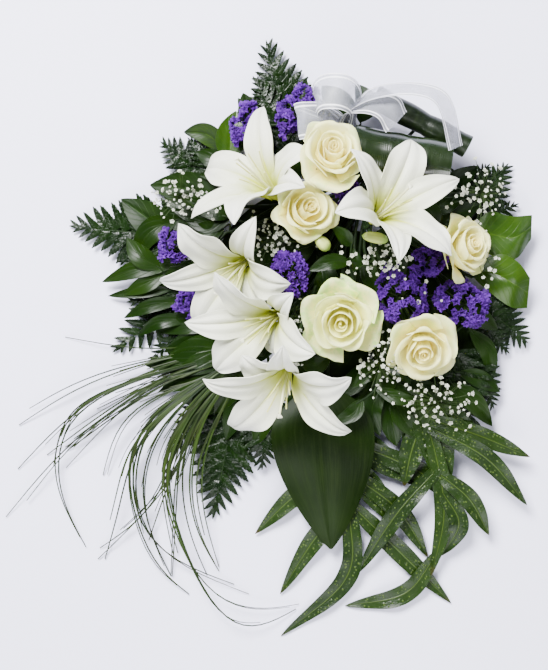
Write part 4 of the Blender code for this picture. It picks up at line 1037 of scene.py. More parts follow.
# How each finish is made: its function, its colours and its own values.
FINISHES = {
    "Lily Petal": (lily_finish, "lily lily_shade lily_throat", {}),
    "Lily Filament": (floret_finish, "filament lily lily",
                      {"edge_from": 0.9, "roughness": 0.45, "patches": 0.6}),
    "Lily Neck": (stem_finish, "lily_throat filament", {}),
    "Rose Cream": (rose_finish, "rose rose_heart rose_outer", {}),
    "Rose Green": (rose_finish, "green_rose green_rose_heart rose_outer", {}),
    "Rose Calyx": (stem_finish, "stem stem_light", {}),
    "Statice Cup": (floret_finish, "statice statice_light statice_light", {}),
    "Gypsophila Floret": (floret_finish, "gypsophila gypsophila_shade gypsophila",
                          {"edge_from": 0.5, "roughness": 0.6}),
    "Twig": (stem_finish, "twig stem_light", {}),
    "Fern Leaflet": (leaf_finish, "fern fern_light fern_light",
                     {"count": 4.0, "slant": 0.2, "roughness": 0.25, "midrib": 0.12,
                      "vein_share": 0.2, "gloss": 0.17}),
    "Broad Leaf": (leaf_finish, "leaf leaf_light leaf_vein", {}),
    "Bright Leaf": (leaf_finish, "bright_leaf bright_leaf_light bright_leaf_light",
                    {"roughness": 0.32, "gloss": 0.22}),
    "Grey Leaf": (leaf_finish, "grey_leaf bright_leaf_light bright_leaf_light", {"coat": 0.0}),
    "Ruscus Leaf": (leaf_finish, "leaf leaf_light leaf_light",
                    {"count": 3.0, "slant": 0.8, "roughness": 0.3, "vein_share": 0.1}),
    "Aspidistra": (striped_finish, "aspidistra aspidistra_light aspidistra_streak", {}),
    "Rolled Leaf": (striped_finish, "aspidistra aspidistra_light aspidistra_streak",
                    {"count": 46.0, "roughness": 0.18, "stripe_share": 0.25, "gloss": 0.75}),
    "Grey Rolled Leaf": (striped_finish, "aspidistra grey_leaf aspidistra_streak",
                         {"count": 46.0, "roughness": 0.3, "stripe_share": 0.8, "gloss": 0.4}),
    "Kangaroo Fern": (pocked_finish, "kangaroo kangaroo_light kangaroo_pock dry_brown", {}),
    "Bear Grass": (blade_finish, "grass grass_light grass_tip", {}),
    "Bud": (bud_finish, "bud bud_green", {}),
    "Organza": (organza_finish, "ribbon ribbon_shade ribbon_satin", {}),
    "Stem": (stem_finish, "stem stem_light", {}),
    "Tie Twine": (tie_finish, "tie tie_light", {}),
    "Pale Floor": (floor_finish, "floor floor_shade", {}),
}


def finish(name):
    """The finish called name, made when it is first needed."""
    if name in bpy.data.materials:
        return bpy.data.materials[name]
    material = bpy.data.materials.new(name)
    material.use_nodes = True
    maker, tones, values = FINISHES[name]
    colours = bpy.context.scene.bouquet_colours
    maker(material.node_tree, *(getattr(colours, key) for key in tones.split()), **values)
    return material


def finishes_of(*names):
    """The finishes with these names, in their order."""
    return [finish(name) for name in names]


# Blooms


def lily_petal(turn, opening, length, width, ring, inner, draw):
    """A petal that wraps round the throat, then opens, bends back and narrows to its tip."""
    start, count = math.radians(16), 60
    bend = math.radians(opening) - start
    curl = math.radians(draw.uniform(8, 26))
    phase, waves = draw.uniform(0, 6.3, 2), draw.uniform(1.6, 2.6)
    sway, twist = draw.uniform(-0.06, 0.06), draw.uniform(-0.35, 0.35)

    def lean(share):
        return start + bend * share**1.2 + curl * smooth(0.72, 1, share)

    shares = (np.arange(count) + 0.5) / count
    steps = np.stack((np.sin(lean(shares)), np.cos(lean(shares))), 1) * length / count
    spine = np.vstack(((ring, 0), (ring, 0) + np.cumsum(steps, axis=0)))
    knots = np.linspace(0, 1, count + 1)

    def surface(across, along):
        angle = lean(along)
        out, rise = np.interp(along, knots, spine[:, 0]), np.interp(along, knots, spine[:, 1])
        half = 0.5 * width * outline(along, fullest=0.56 if inner else 0.5, tip=0.0, base=0.12, swelling=1.3)
        cup = 0.24 * half * (1 - 1.35 * along) * across**2
        groove = (2.4 * (np.exp(-(across / 0.13) ** 2) - 0.2) + 0.7 * np.cos(9.4 * across)) * MM * np.sin(
            np.pi * along) ** 0.5
        ruffle = (3.4 if inner else 1.5) * MM * np.abs(across) ** 2.2 * smooth(0.15, 0.5, along) * (
            1 - smooth(0.86, 1, along)) * np.sin(
                math.tau * waves * along + phase[(across > 0).astype(int)] + 0.4 * across)
        lifted = cup - groove + ruffle + twist * across * half * smooth(0.3, 1, along)
        wrap = across * half / np.maximum(out, 1e-6)
        blend = np.maximum(0, 1 - along / 0.5)
        flat = np.stack((out - np.cos(angle) * lifted,
                         across * half + sway * length * along**2, rise + np.sin(angle) * lifted), 1)
        wound = np.stack((out * np.cos(wrap), out * np.sin(wrap), rise), 1)
        spot = flat + (wound - flat) * blend[:, None]
        c, s = math.cos(math.radians(turn)), math.sin(math.radians(turn))
        return np.stack((spot[:, 0] * c - spot[:, 1] * s, spot[:, 0] * s + spot[:, 1] * c, spot[:, 2]), 1)

    return sheet(surface, (14, 26), draw.uniform(0, 0.45))


def lily_bloom(name, throat, tilt, heading, petals, finishes):
    """Six petals in two rings of three, six pale curved filaments and a lobed pistil."""
    draw = draws(name)
    frame_at = bloom_frame(place(*throat), tilt, heading)
    blades = []
    for index, (turn, opening, share) in enumerate(petals):
        inner = index % 2
        width, ring = (LILY_INNER_WIDTH, 5 * MM) if inner else (LILY_OUTER_WIDTH, 7.5 * MM)
        petal = lily_petal(turn, opening, LILY_PETAL_LENGTH * share, width, ring, inner, draw)
        blades.append(moved(petal, frame_at))
    corolla = solid_piece(name + "_petals", blades, finishes[:1], LILY_PETAL_THICKNESS, 60)
    parts = []
    t = np.linspace(0, 1, 12)
    for index in range(6):
        turn = math.radians(60 * index + 28 + draw.uniform(-8, 8))
        out = np.array((math.cos(turn), math.sin(turn), 0))
        reach, bow = draw.uniform(0.15, 0.27), draw.uniform(0.7, 1.0)
        route = (out * (3.2 * MM + LILY_FILAMENT_LENGTH * reach * t[:, None] ** 1.7)
                 + UP * (1 * MM + LILY_FILAMENT_LENGTH * bow * t[:, None]))
        parts.append(tube(route, np.interp(t, (0, 1), (1.2, 0.75)) * MM, 6, 0.2, 0))
    rise = UP * LILY_FILAMENT_LENGTH * 1.18
    bent = np.array((0.08, 0.05, 0)) * LILY_FILAMENT_LENGTH
    pistil = rise * t[:, None] + bent * t[:, None] ** 2
    parts.append(tube(pistil, np.interp(t, (0, 1), (1.5, 1.1)) * MM, 8, 0.6, 0))
    head = rise + bent + UP * np.array((-2.5, -1, 0.4, 1.2, 1.4))[:, None] * MM
    parts.append(tube(head, np.array((1.2, 2.3, 2.9, 2.2, 0.8)) * MM, 12, 0.9, 0, lobes=(3, 0.28)))
    neck = UP * np.array((-LILY_NECK, -0.6 * LILY_NECK, 0, 3 * MM))[:, None]
    parts.append(tube(neck, np.array((2.5, 3.4, 6.2, 7.0)) * MM, 12, 0.0, 1, lobes=(6, 0.06)))
    inside = solid_piece(name + "_inside", [moved(part, frame_at) for part in parts], finishes[1:])
    return joined(name + "_bloom", [corolla, inside])


def rose_petal(turn, reach, top, half_turn, roll, point, tint, draw):
    """A broad petal that stands up from its foot, opens out, and rolls back at its rim."""
    low = smooth(0.35, 1.0, tint)
    foot = 0.12 * reach + 0.5 * MM
    knee = np.array(((0.92 - 0.34 * low) * reach, (0.32 + 0.34 * low) * top))
    rim = np.array((reach - 0.6 * roll, top))
    lean = math.atan2(*(rim - knee))
    back = math.radians(115 - 50 * low)
    tip_at, slope = draw.uniform(-0.45, 0.45), draw.uniform(-0.16, 0.16) * (1 + 1.4 * low)
    phase, spiral = draw.uniform(0, 6.3, 2), reach * 0.07

    def surface(across, along):
        side = np.abs(across)
        peak = point * np.maximum(0, 1 - 1.6 * np.abs(across - tip_at)) ** 1.3
        at = along * (0.93 - 0.24 * side**2.6 + peak)
        at = at * (1 + 0.04 * np.sin(6 * across + phase[0]) + 0.014 * np.sin(15 * across + phase[1]))
        rise = np.minimum(at / 0.8, 1)
        out = foot * (1 - rise) ** 2 + 2 * knee[0] * rise * (1 - rise) + rim[0] * rise**2
        high = 2 * knee[1] * rise * (1 - rise) + rim[1] * rise**2
        swung = lean + back * np.maximum(0, at / 0.8 - 1) * 4
        out += roll * (math.cos(lean) - np.cos(swung))
        high += roll * (np.sin(swung) - math.sin(lean))
        out += (spiral * across + 0.10 * reach * side**5) * smooth(0, 0.4, along)
        out += 0.09 * reach * low * np.sin(4.5 * across + phase[1]) * along**2
        high += 0.07 * reach * low * np.sin(5.5 * across + phase[0]) * along**3
        high += slope * reach * across * along**2
        angle = math.radians(turn) + math.radians(half_turn) * across * (0.5 + 0.5 * smooth(0, 0.5, along))
        return np.stack((out * np.cos(angle), out * np.sin(angle), high), 1)

    return sheet(surface, (16, 16), tint)


def rose_heart(radius, height, turn):
    """The coiled petal in the middle of a rose."""
    def surface(across, along):
        share = (across + 1) / 2
        out = radius * (0.012 + 0.09 * share + 0.015 * np.sin(7 * share)) * (
            0.72 + 0.4 * np.sin(2.6 * along) + 0.1 * share * along**6)
        high = height * (0.2 + along * (0.84 - 0.05 * share + 0.015 * np.sin(11 * share)))
        angle = turn + share * 5.2
        return np.stack((out * np.cos(angle), out * np.sin(angle), high), 1)

    return sheet(surface, (60, 8), 0.0)


def rose_sepal(turn, size):
    """A narrow green leaf that curls up under a rose."""
    run = np.array(((5, 0, 2), (13, 0, 1.5), (20, 0, 6), (23, 0, 12.5))) * MM * size

    def surface(across, along):
        spot, side, face, _ = leaf_frames(run, along)
        width = across * 4.2 * MM * outline(along, 0.3, 0.0)
        return spot + side * width[:, None] + face * (np.abs(across) * 0.8 * MM)[:, None]

    return moved(sheet(surface, (2, 8), 0.5), level_frame((0, 0, 0), turn))


def rose_bloom(name, middle, tilt, heading, size, finishes):
    """A coiled heart inside petals that open outwards, over green sepals."""
    draw = draws(name)
    radius, height = ROSE_RADIUS * size, ROSE_HEIGHT * size
    axis = direction(tilt, heading)
    frame_at = bloom_frame(place(*middle) - axis * height * 0.6, tilt, heading)
    turn, fade = draw.uniform(0, 360), 1.0 if name == GREENISH_ROSE else 0.85
    cup = funnel(radius * 0.5, height * 0.4, 5, (15, 3), 0.05, 1.0, 0.05)
    petals = [rose_heart(radius, height, turn), moved(cup, aimed((0, 0, height * 0.22), UP))]
    for count, reach, top, half_turn, roll, point, tint in ROSE_RINGS:
        turn += 47
        for _ in range(count):
            turn += 360 / count + draw.uniform(-16, 16)
            petals.append(rose_petal(
                turn, radius * reach * draw.uniform(0.9, 1.08),
                height * top * draw.uniform(0.98 - 0.14 * tint, 1.03),
                half_turn * draw.uniform(0.9, 1.12), radius * roll * draw.uniform(0.8, 1.2),
                point * draw.uniform(0.6, 1.3), tint * fade, draw))
    drift = radius * draw.uniform(0.14, 0.26) * np.array(ROSE_DRIFTS[name])
    for index, petal in enumerate(petals):
        shift = np.outer(petal.places[:, 2] / height, (*drift, 0))
        petals[index] = moved(petal._replace(places=petal.places + shift), frame_at)
    crown = solid_piece(name + "_petals", petals, finishes[:1], ROSE_PETAL_THICKNESS, 60)
    sepals = [moved(rose_sepal(1.257 * index, size), frame_at) for index in range(5)]
    leafy = solid_piece(name + "_sepals", sepals, finishes[1:], SEPAL_THICKNESS)
    route = UP * np.array((-4, -2.5, 0, 3.5, 6))[:, None] * MM
    hip = tube(route, np.array((2.4, 4.2, 5.6, 6.8, 7.0)) * MM, 12)
    base = solid_piece(name + "_hip", [moved(hip, frame_at)], finishes[1:])
    return joined(name + "_bloom", [crown, leafy, base])


def funnel(radius, depth, lobes, cells=(15, 2), crinkle=0.22, flare=1.6, ragged=0.16):
    """A small papery funnel with a lobed, crinkled rim, open at the top."""
    def surface(across, along):
        turn = -(across + 1) * math.pi
        out = radius * (0.16 + 0.84 * along**flare) * (1 + ragged * along * np.cos(lobes * turn))
        rise = depth * along * (1 + crinkle * np.cos(lobes * turn + 2.1) * along)
        rise += 0.12 * depth * along * np.cos(3 * lobes * turn)
        return np.stack((out * np.cos(turn), out * np.sin(turn), rise), 1)

    return sheet(surface, cells)


def statice_sprig(name, middle, sizes, heading, florets, finishes):
    """Papery violet florets crowded over a sprig, each on a short green stalk."""
    draw = draws(name)
    cup = funnel(4.0 * MM, 6.0 * MM, 5, ragged=0.34)
    frill = funnel(2.6 * MM, 5.6 * MM, 4, (8, 1), ragged=0.3)
    turned = level_frame(place(*middle), math.radians(heading))
    half = np.array(sizes) * MM
    foot = -1.25 * half[2] * UP
    stem = np.array((foot, foot * 0.3, 0.2 * half[2] * UP))
    cups, stalks = [], [tube(stem, np.array((1.8, 1.6, 1.0)) * MM)]
    spikes = round(florets * 1.35)
    for index in range(spikes):
        upper = 1 - 1.3 * (index + 0.5) / spikes
        ring, turn = math.sqrt(max(0.0, 1 - upper * upper)), 2.4 * index + draw.uniform(-0.4, 0.4)
        out = np.array((ring * math.cos(turn), ring * math.sin(turn), upper))
        end = out * half * draw.uniform(0.8, 1.12)
        start = end * 0.25 + foot * 0.3
        stalks.append(branch((start, (start + end) / 2 + 0.2 * half[2] * UP, end), 1.0, 0.6, 5, 4, 0.4))
        run = unit(unit(np.cross(out / half, (0.3, 0.2, 1))) + draw.uniform(-0.5, 0.5, 3))
        for step in range(5):
            spot = end + run * (step - 2) * 3.3 * MM - UP * 0.35 * MM * (step - 2) ** 2
            aim = unit(unit(out / half) + draw.uniform(-0.5, 0.5, 3) + (0, 0, 0.3))
            tint = draw.uniform(0, 0.9)
            frame_at = aimed(spot, aim, draw.uniform(0, 6.3), draw.uniform(0.75, 1.15))
            cups.append(moved(cup, frame_at, tint))
            cups.append(moved(frill, frame_at @ aimed((0, 0, 0.6 * MM), (0.1, 0, 1)), tint + 0.1))
            stalk = np.array((end - UP * 2 * MM, spot + aim * MM))
            stalks.append(tube(stalk, np.array((0.7, 0.9)) * MM, 3, 0.4))
    cups = [moved(cup, turned) for cup in cups]
    blooms = solid_piece(name + "_cups", cups, finishes[:1], STATICE_THICKNESS, 75)
    stems = solid_piece(name + "_stalks", [moved(stalk, turned) for stalk in stalks], finishes[1:])
    return joined(name + "_sprig", [blooms, stems])


def floret_shapes():
    """The ruffled outer and inner cups of a gypsophila floret, and a closed head."""
    outer = funnel(2.9 * MM, 2.4 * MM, 5, (10, 2), 0.3, 1.1)
    inner = funnel(1.9 * MM, 2.6 * MM, 4, (8, 1), 0.3, 1.0)
    route = np.array(((0, 0, -1.2), (0, 0, -0.5), (0, 0, 0.8), (0, 0, 1.5))) * MM
    return outer, inner, tube(route, np.array((0.4, 1.1, 1.0, 0.4)) * MM, 6)


def over_rose(spot):
    """Whether the spot is within a rose, seen from above."""
    return any(math.dist(spot[:2], place(*middle)[:2]) < ROSE_RADIUS * size * 0.88
               for middle, *_, size in ROSES.values())


def gypsophila_parts(middle_at, half, count, starts, draw):
    """Florets, closed heads and hair-thin branches round middle_at, from starts given one a branch."""
    outer, inner, head = floret_shapes()
    flowers, heads, green = [], [], []
    for index in range(count):
        ring, turn = math.sqrt((index + 0.7) / count), 2.4 * index + draw.uniform(-0.4, 0.4)
        ring *= 1.3 if index % 4 == 1 else 1.0
        tip = middle_at + half * (ring * math.cos(turn), ring * math.sin(turn), draw.uniform(0.0, 1.05))
        start = starts(index)
        elbow = start + (tip - start) * 0.55 + 0.25 * half[2] * UP
        aim = unit(unit(tip - elbow) + (0, 0, 0.8) + draw.uniform(-0.3, 0.3, 3))
        green.append(branch((start, elbow, tip), 0.42, 0.3, 5, 3, draw.uniform(0, 1)))
        if index % 5 == 4:
            heads.append(moved(head, aimed(tip, aim), draw.uniform(0, 0.6)))
            continue
        frame_at = aimed(tip - aim * MM, aim, draw.uniform(0, 6.3), draw.uniform(0.38, 1.0))
        tint = draw.uniform(0, 0.6)
        if not over_rose(tip):
            flowers.append(moved(outer, frame_at, tint))
            flowers.append(moved(inner, frame_at @ aimed((0, 0, 0.5 * MM), (0.2, 0.1, 1)), tint))
    return flowers, heads, green


def gypsophila_piece(name, flowers, heads, green, finishes):
    """The florets, heads and branches of a spray as one object."""
    cups = solid_piece(name + "_florets", flowers, finishes[:1], GYPSOPHILA_THICKNESS, 75)
    buds = solid_piece(name + "_heads", heads, finishes[:1])
    return joined(name + "_spray", [cups, buds, solid_piece(name + "_branches", green, finishes[1:])])


def gypsophila_spray(name, middle, sizes, florets, finishes):
    """Small double white florets and heads on hair-thin branches that leave one stalk."""
    draw = draws(name)
    middle_at, half = place(*middle), np.array(sizes) * (1.22, 1.22, 1.0) * MM
    foot = -1.3 * half[2] * UP

    def start_on_stalk(_):
        return middle_at + foot * (1 - draw.uniform(0.35, 0.95))

    flowers, heads, green = gypsophila_parts(middle_at, half, round(florets * 6.2), start_on_stalk, draw)
    stalk = middle_at + np.array((foot, foot * 0.5, 0.1 * half[2] * UP))
    green.append(tube(stalk, np.array((1.2, 0.9, 0.5)) * MM, 5))
    return gypsophila_piece(name, flowers, heads, green, finishes)


def stray_gypsophila(finishes, draw):
    """Single florets between the blooms, on branches that leave the nearest stems."""
    near = stem_points(0.1)
    flowers, heads, green = [], [], []
    for middle, sizes, count in GYPSOPHILA_STRAYS:
        middle_at = place(*middle)
        starts = near[np.argsort(np.linalg.norm(near - middle_at, axis=1))]
        found = gypsophila_parts(middle_at, np.array(sizes) * MM, count, starts.__getitem__, draw)
        for pieces, more in zip((flowers, heads, green), found):
            pieces += more
    return gypsophila_piece("stray", flowers, heads, green, finishes)


# Foliage


def pinna():
    """One leaflet of a fern frond, one unit long: a pointed blade cut into forward-leaning lobes."""
    def lobe(root, length, width, lean, way):
        c, s = math.cos(lean), math.sin(lean)

        def surface(across, along):
            edge = np.interp(along, (0, 0.35, 0.7, 1), (1.0, 0.95, 0.70, 0.06))
            x, y = length * along, width * (across * edge + 0.25 * along)
            tilt = 0.45 * width * across * math.sin(40 * root)
            z = -0.30 * width * across**2 - 0.12 * length * along**2 + tilt
            return np.stack((way * (x * c - y * s), root + x * s + y * c, z), 1)

        return sheet(surface, (2, 3))

    parts, pairs = [], 7
    for index in range(pairs):
        share = (index + 0.2) / pairs
        length = 0.235 * (1 - share) ** 0.6 + 0.02
        for way in (-1, 1):
            parts.append(lobe(share * 0.93 + 0.014 * way, length, 0.086 * (1 - 0.35 * share), 0.86, way))

    def blade(across, along):
        high = -0.02 * along**2 - 0.02 * np.abs(across)
        return np.stack((0.15 * across * (1.02 - along) ** 0.6, along, high), 1)

    return together([*parts, sheet(blade, (2, 4))])


def frond_parts(points, half_width, pairs, leaflet, draw):
    """A rib with slanting leaflets in pairs, each cut into lobes, ending in a lobed tip."""
    run = places(points)
    half = half_width * MM
    parts = []
    count = pairs + 4
    for index in range(count):
        along = 0.03 + 0.93 * ((index + 0.4) / count) ** 0.9
        reach = half * (0.09 + 1.06 * (1 - along) ** 0.8) * min(1.0, 0.6 + 2.5 * along)
        for way in (-1, 1):
            at = min(1.0, along + 0.016 * way)
            spot, side, face, ahead = (item[0] for item in leaf_frames(run, np.array([at])))
            slant = FERN_SLANT + 0.12 + 1.3 * along**5 + draw.uniform(-0.08, 0.10)
            out = unit(side * way + ahead * slant + face * draw.uniform(-0.10, 0.12))
            cross = unit(ahead - out * np.dot(ahead, out)) * way
            roll = draw.uniform(-0.42, 0.42)
            upward = unit(face + cross * roll)
            cross = unit(cross - upward * np.dot(cross, upward))
            size = reach * math.hypot(1, FERN_SLANT) * draw.uniform(0.93, 1.05)
            matrix = frame_of(spot + face * 0.5 * MM, -cross * size * 1.28, out * size, upward * size)
            parts.append(moved(leaflet, matrix, draw.uniform(0, 1)))
    spot, side, face, ahead = (item[0] for item in leaf_frames(run, np.array([0.88])))
    size = 0.13 * run_length(run)
    parts.append(moved(leaflet, frame_of(spot, side * size, ahead * size, face * size), 0.5))
    return parts, branch(run, 1.3, 0.4, 20, 6, 0.3, flat=0.8)


def fern_fronds(name, points, half_width, pairs, finishes):
    """A frond, with the smaller ones that leave the foot of its rib."""
    draw, leaflet = draws(name), pinna()
    parts, ribs = [], []
    for row in ((points, half_width, pairs), *SIDE_FRONDS.get(name, ())):
        leaflets, rib = frond_parts(*row, leaflet, draw)
        parts += leaflets
        ribs.append(rib)
    blade = solid_piece(name + "_leaflets", parts, finishes[:1], FERN_THICKNESS, 70)
    return joined(name + "_frond", [blade, solid_piece(name + "_rib", ribs, finishes[1:])])


def blade_sheet(run, half, rise, cells, fullest, waves, draw, groove=0.0, tip=0.02, base=0.12, cup=0.5):
    """A leaf along its midrib, with raised, waved edges and a groove along the middle."""
    phase = draw.uniform(0, 6.3, 2)

    def surface(across, along):
        middle, side, face, _ = leaf_frames(run, along)
        width = half * outline(along, fullest, tip, base)
        shape = np.sin(np.pi * np.clip(along, 0, 1)) ** cup
        wave = waves[0] * np.sin(math.tau * waves[1] * along + phase[(across > 0).astype(int)])
        lift = rise * across**2 + wave * np.abs(across) ** 1.6 - groove * np.exp(-(across / 0.14) ** 2)
        return middle + side * (across * width)[:, None] + face * (lift * shape)[:, None]

    return sheet(surface, cells, draw.uniform(0, 0.7))


def blunt_blade(upper_edge, lower_edge, draw):
    """A leaf's blade laid between its two edges, with its far end cut off and gently rippled."""
    upper_edge, lower_edge = places(upper_edge), places(lower_edge)
    phase = draw.uniform(0, 6.3)

    def surface(across, along):
        share = (0.5 * (across + 1))[:, None]
        spot = curve_at(lower_edge, along) * share + curve_at(upper_edge, along) * (1 - share)
        ripple = 2.6 * MM * np.sin(6.5 * along + 2.2 * across + phase) * np.sin(np.pi * along) ** 0.5
        groove = 1.3 * MM * np.exp(-(across / 0.1) ** 2) * np.sin(np.pi * along) ** 0.5
        return spot + UP * (ripple - groove)[:, None]

    return sheet(surface, (20, 28), draw.uniform(0, 0.7))


def broad_leaf(name, points, half_width=0.0, rise=0.0, finishes=()):
    """A broad leaf on a short stalk, pointed or with a blunt end."""
    draw = draws(name)
    run = places(points)
    if name in BLUNT_LEAVES:
        blade = blunt_blade(*BLUNT_LEAVES[name], draw)
    else:
        waves = (1.2 * MM, 1.3)
        blade = blade_sheet(run, half_width * MM, rise * MM, (16, 28), 0.42, waves, draw, 1.4 * MM)
    leaf = solid_piece(name + "_blade", [blade], finishes, BROAD_LEAF_THICKNESS, 60)
    foot = tube(curve_at(run, np.linspace(0, 0.12, 5)), np.full(5, 1.1) * MM, 6)
    stalk = solid_piece(name + "_stalk", [foot], finishes)
    return joined(name + "_leaf", [leaf, stalk])


def long_leaf(name, points, half_width, rise, finishes):
    """An aspidistra leaf: long and smooth, and folded and rippled where its edges rise."""
    wave, groove = (1.6 * MM, 1.6 * MM) if rise else (0.3 * MM, 0.3 * MM)
    blade = blade_sheet(places(points), half_width * MM, rise * MM, (28, 44), 0.4, (wave, 2.2),
                        draws(name), groove)
    return solid_piece(name + "_blade", [blade], finishes, LONG_LEAF_THICKNESS, 60)


def rolled_leaf(name, start, end, start_radius, end_radius, finishes):
    """A leaf bent round into a loop, with its tip lying over its foot."""
    draw = draws(name)
    a, b = place(*start), place(*end)
    axis = unit(b - a)
    outward = unit(np.cross(axis, UP))
    half, turns = 0.5 * np.linalg.norm(b - a), math.radians(348)
    phase = draw.uniform(0, 6.3, 3)

    def surface(across, along):
        angle = -0.5 * math.pi - 0.05 - turns * along
        edge = across * (1 - 0.10 * np.abs(2 * along - 1) ** 3)
        radius = (start_radius + (end_radius - start_radius) * 0.5 * (edge + 1)) * MM
        radius = radius * (1 - 0.03 * along)
        radius -= 0.5 * MM * (1 + np.sin(9 * across + phase[0] + 2 * along)) * smooth(0, 0.1, along)
        radius -= 0.6 * MM * np.exp(-((across - 0.1) / 0.07) ** 2)
        spot = (a + b) / 2 + axis * (edge * half)[:, None]
        return spot + outward * (radius * np.cos(angle))[:, None] + UP * (radius * np.sin(angle))[:, None]

    loop = sheet(surface, (40, 64), 0.3)
    return solid_piece(name + "_loop", [loop], finishes, LONG_LEAF_THICKNESS, 60)


def kangaroo_frond(name, rib, half_width, lobes, finishes):
    """A leathery frond: a long tip blade with strap-shaped, wavy lobes that leave its rib."""
    draw = draws(name)
    run = places(rib)
    half = half_width * MM
    groove = 0.5 * MM
    parts = [blade_sheet(run, half, 1.5 * MM, (10, 54), 0.6, (1.3 * MM, 5.0), draw, groove)]
    for joint, width in KANGAROO_JOINTS[name]:
        waves = (1.6 * MM, 4.0)
        parts.append(blade_sheet(places(joint), width * MM, 2.0 * MM, (12, 30), 0.45, waves, draw, groove))
    path = curve_at(run, np.linspace(0, 1, 81))
    for lobe in lobes:
        points = places(lobe)
        near = path[np.argmin(np.linalg.norm(path[:, :2] - points[0][:2], axis=1))]
        points[0] = near - UP * 0.2 * MM
        waves = (1.4 * MM, 3.2)
        parts.append(blade_sheet(points, half, 1.5 * MM, (10, 30), 0.5, waves, draw, groove, base=0.5))
    return solid_piece(name + "_frond", parts, finishes, LONG_LEAF_THICKNESS, 60)


def grass_copies(draw):
    """Every blade of the fan once, then once more beside itself, then shorter ones round it.

    Each is the number of its blade, how far it lies beside it and its share of the length.
    """
    count = len(GRASS_BLADES)
    copies = [(index, 0.0, 1.0) for index in range(count)]
    copies += [(index, draw.uniform(2.5, 8) * draw.choice((-1, 1)), draw.uniform(0.86, 1.0))
               for index in range(1, count)]
    copies += [(index, shift + draw.uniform(-3, 3), draw.uniform(0.3, 0.72))
               for index in range(1, count) for shift in (-12, -5, 6, 13)]
    return copies


def grass_tuft(finish, draw):
    """A tuft of long thin folded blades that leave one sheath and fan out."""
    root = place(*GRASS_SHEATH_PLACE)
    ahead = unit(GRASS_HEADING)
    aside = np.cross(UP, ahead)
    sheath = root + ahead * np.linspace(-0.5, 0.5, 5)[:, None] * GRASS_SHEATH
    parts = [tube(sheath, np.array((3, 6, 9, 11, 8)) * MM, 14, 0.0, lobes=(7, 0.06))]
    last = len(GRASS_BLADES) - 1
    for index, shift, reach in grass_copies(draw):
        blade = GRASS_BLADES[index]
        stray = 0.0 if shift == 0 else 3.0
        rank = (index - 0.5 * last) * 16 / last
        lift = GRASS_LIFT + GRASS_LEVEL_STEP * rank
        count = len(blade) - 1
        heights = [lift * (1 - (step / count) ** 2) + 1.6 for step in range(count + 1)]
        start = root + ahead * (0.5 * GRASS_SHEATH - 2 * MM) + UP * 1.1 * MM * rank
        start = start + aside * 3.4 * MM * (1 - index % 3)
        share = np.linspace(0, 1, count + 1)
        run = [start, *[place(spot[0] + (shift * 0.8 + draw.uniform(-stray, stray)) * at,
                              spot[1] + (shift + draw.uniform(-stray, stray)) * at, height)
                        for spot, height, at in zip(blade, heights, share)]]
        t = np.linspace(0, 1, 12 + 4 * count)
        route = curve_at(run, t * reach)
        for _ in range(GRASS_EASING):
            route[1:-1] = 0.5 * route[1:-1] + 0.25 * (route[:-2] + route[2:])
        width = (1.15 if reach > 0.8 else 0.95) * (1 - 0.5 * t**2) * MM * draw.uniform(0.85, 1.1)
        side = unit(np.cross(route[1] - route[0], UP)) + UP * draw.uniform(-0.6, 0.6)
        parts.append(tube(route, width, 6, draw.uniform(0, 1), flat=0.34, side=unit(side)))
    return solid_piece("bear_grass_tuft", parts, [finish])


def ruscus_sprig(name, stem, leaves, finishes):
    """A thin twig with small pointed leaves."""
    draw = draws(name)
    run = places(stem)
    path = curve_at(run, np.linspace(0, 1, 40))
    twig = solid_piece(name + "_twig", [branch(run, 1.4, 0.9, 9)], finishes[1:])
    blades, waves = [], (0.5 * MM, 1.2)
    for *points, half_width in leaves:
        points = places(points)
        points[0] = nearest(path, points[0]) - UP * 0.2 * MM
        blades.append(blade_sheet(points, half_width * MM, 1.5 * MM, (8, 12), 0.42, waves, draw, 0.4 * MM))
    leafy = solid_piece(name + "_leaves", blades, finishes[:1], SMALL_LEAF_THICKNESS)
    return joined(name + "_sprig", [leafy, twig])


def filling_leaves(finishes, draw):
    """Small leaves between the blooms, each on a thin stalk from the nearest stem."""
    near = stem_points(0.05)
    blades, stalks, waves = [], [], (0.6 * MM, 1.3)
    for *points, half_width in FILLING_LEAVES:
        points = places(points)
        blades.append(blade_sheet(points, half_width * MM, 1.5 * MM, (8, 14), 0.42, waves, draw, 0.5 * MM))
        foot, step = points[0], points[1] - points[0]
        route = (nearest(near, foot), foot - step * 0.25, foot, foot + step * 0.2)
        stalks.append(branch(route, 1.2, 0.8, 10, 6, draw.uniform(0, 1)))
    leaves = solid_piece("filling_blades", blades, finishes[:1], SMALL_LEAF_THICKNESS, 60)
    return joined("filling_leaves", [leaves, solid_piece("filling_stalks", stalks, finishes[1:])])


def lily_bud(name, start, end, radius, finishes):
    """A closed bud of three ribbed scales, pointed at both ends."""
    a, b = place(*start), place(*end)
    t = np.linspace(-1, 1, 15)
    route = (a + b) / 2 + (b - a) * 0.6 * t[:, None]
    swell = np.sqrt(np.maximum(1 - np.abs(t) ** 2.3, 0.003)) * (1 - 0.12 * t)
    body = tube(route, swell * radius * MM, 18, 0.2, lobes=(3, 0.07))
    return solid_piece(name + "_bud", [body], finishes)


# Stems, tie and ribbon


def bundle_frame():
    """The middle of the tie, the bundle's cut end, its heading and its side."""
    height = (BUNDLE_RADIUS + CLEARANCE + TIE_THICKNESS) / MM
    tie, end = place(*TIE_PLACE, height), place(*BUNDLE_END_PLACE, height)
    heading = unit(end - tie)
    return tie, end, heading, np.cross(UP, heading)


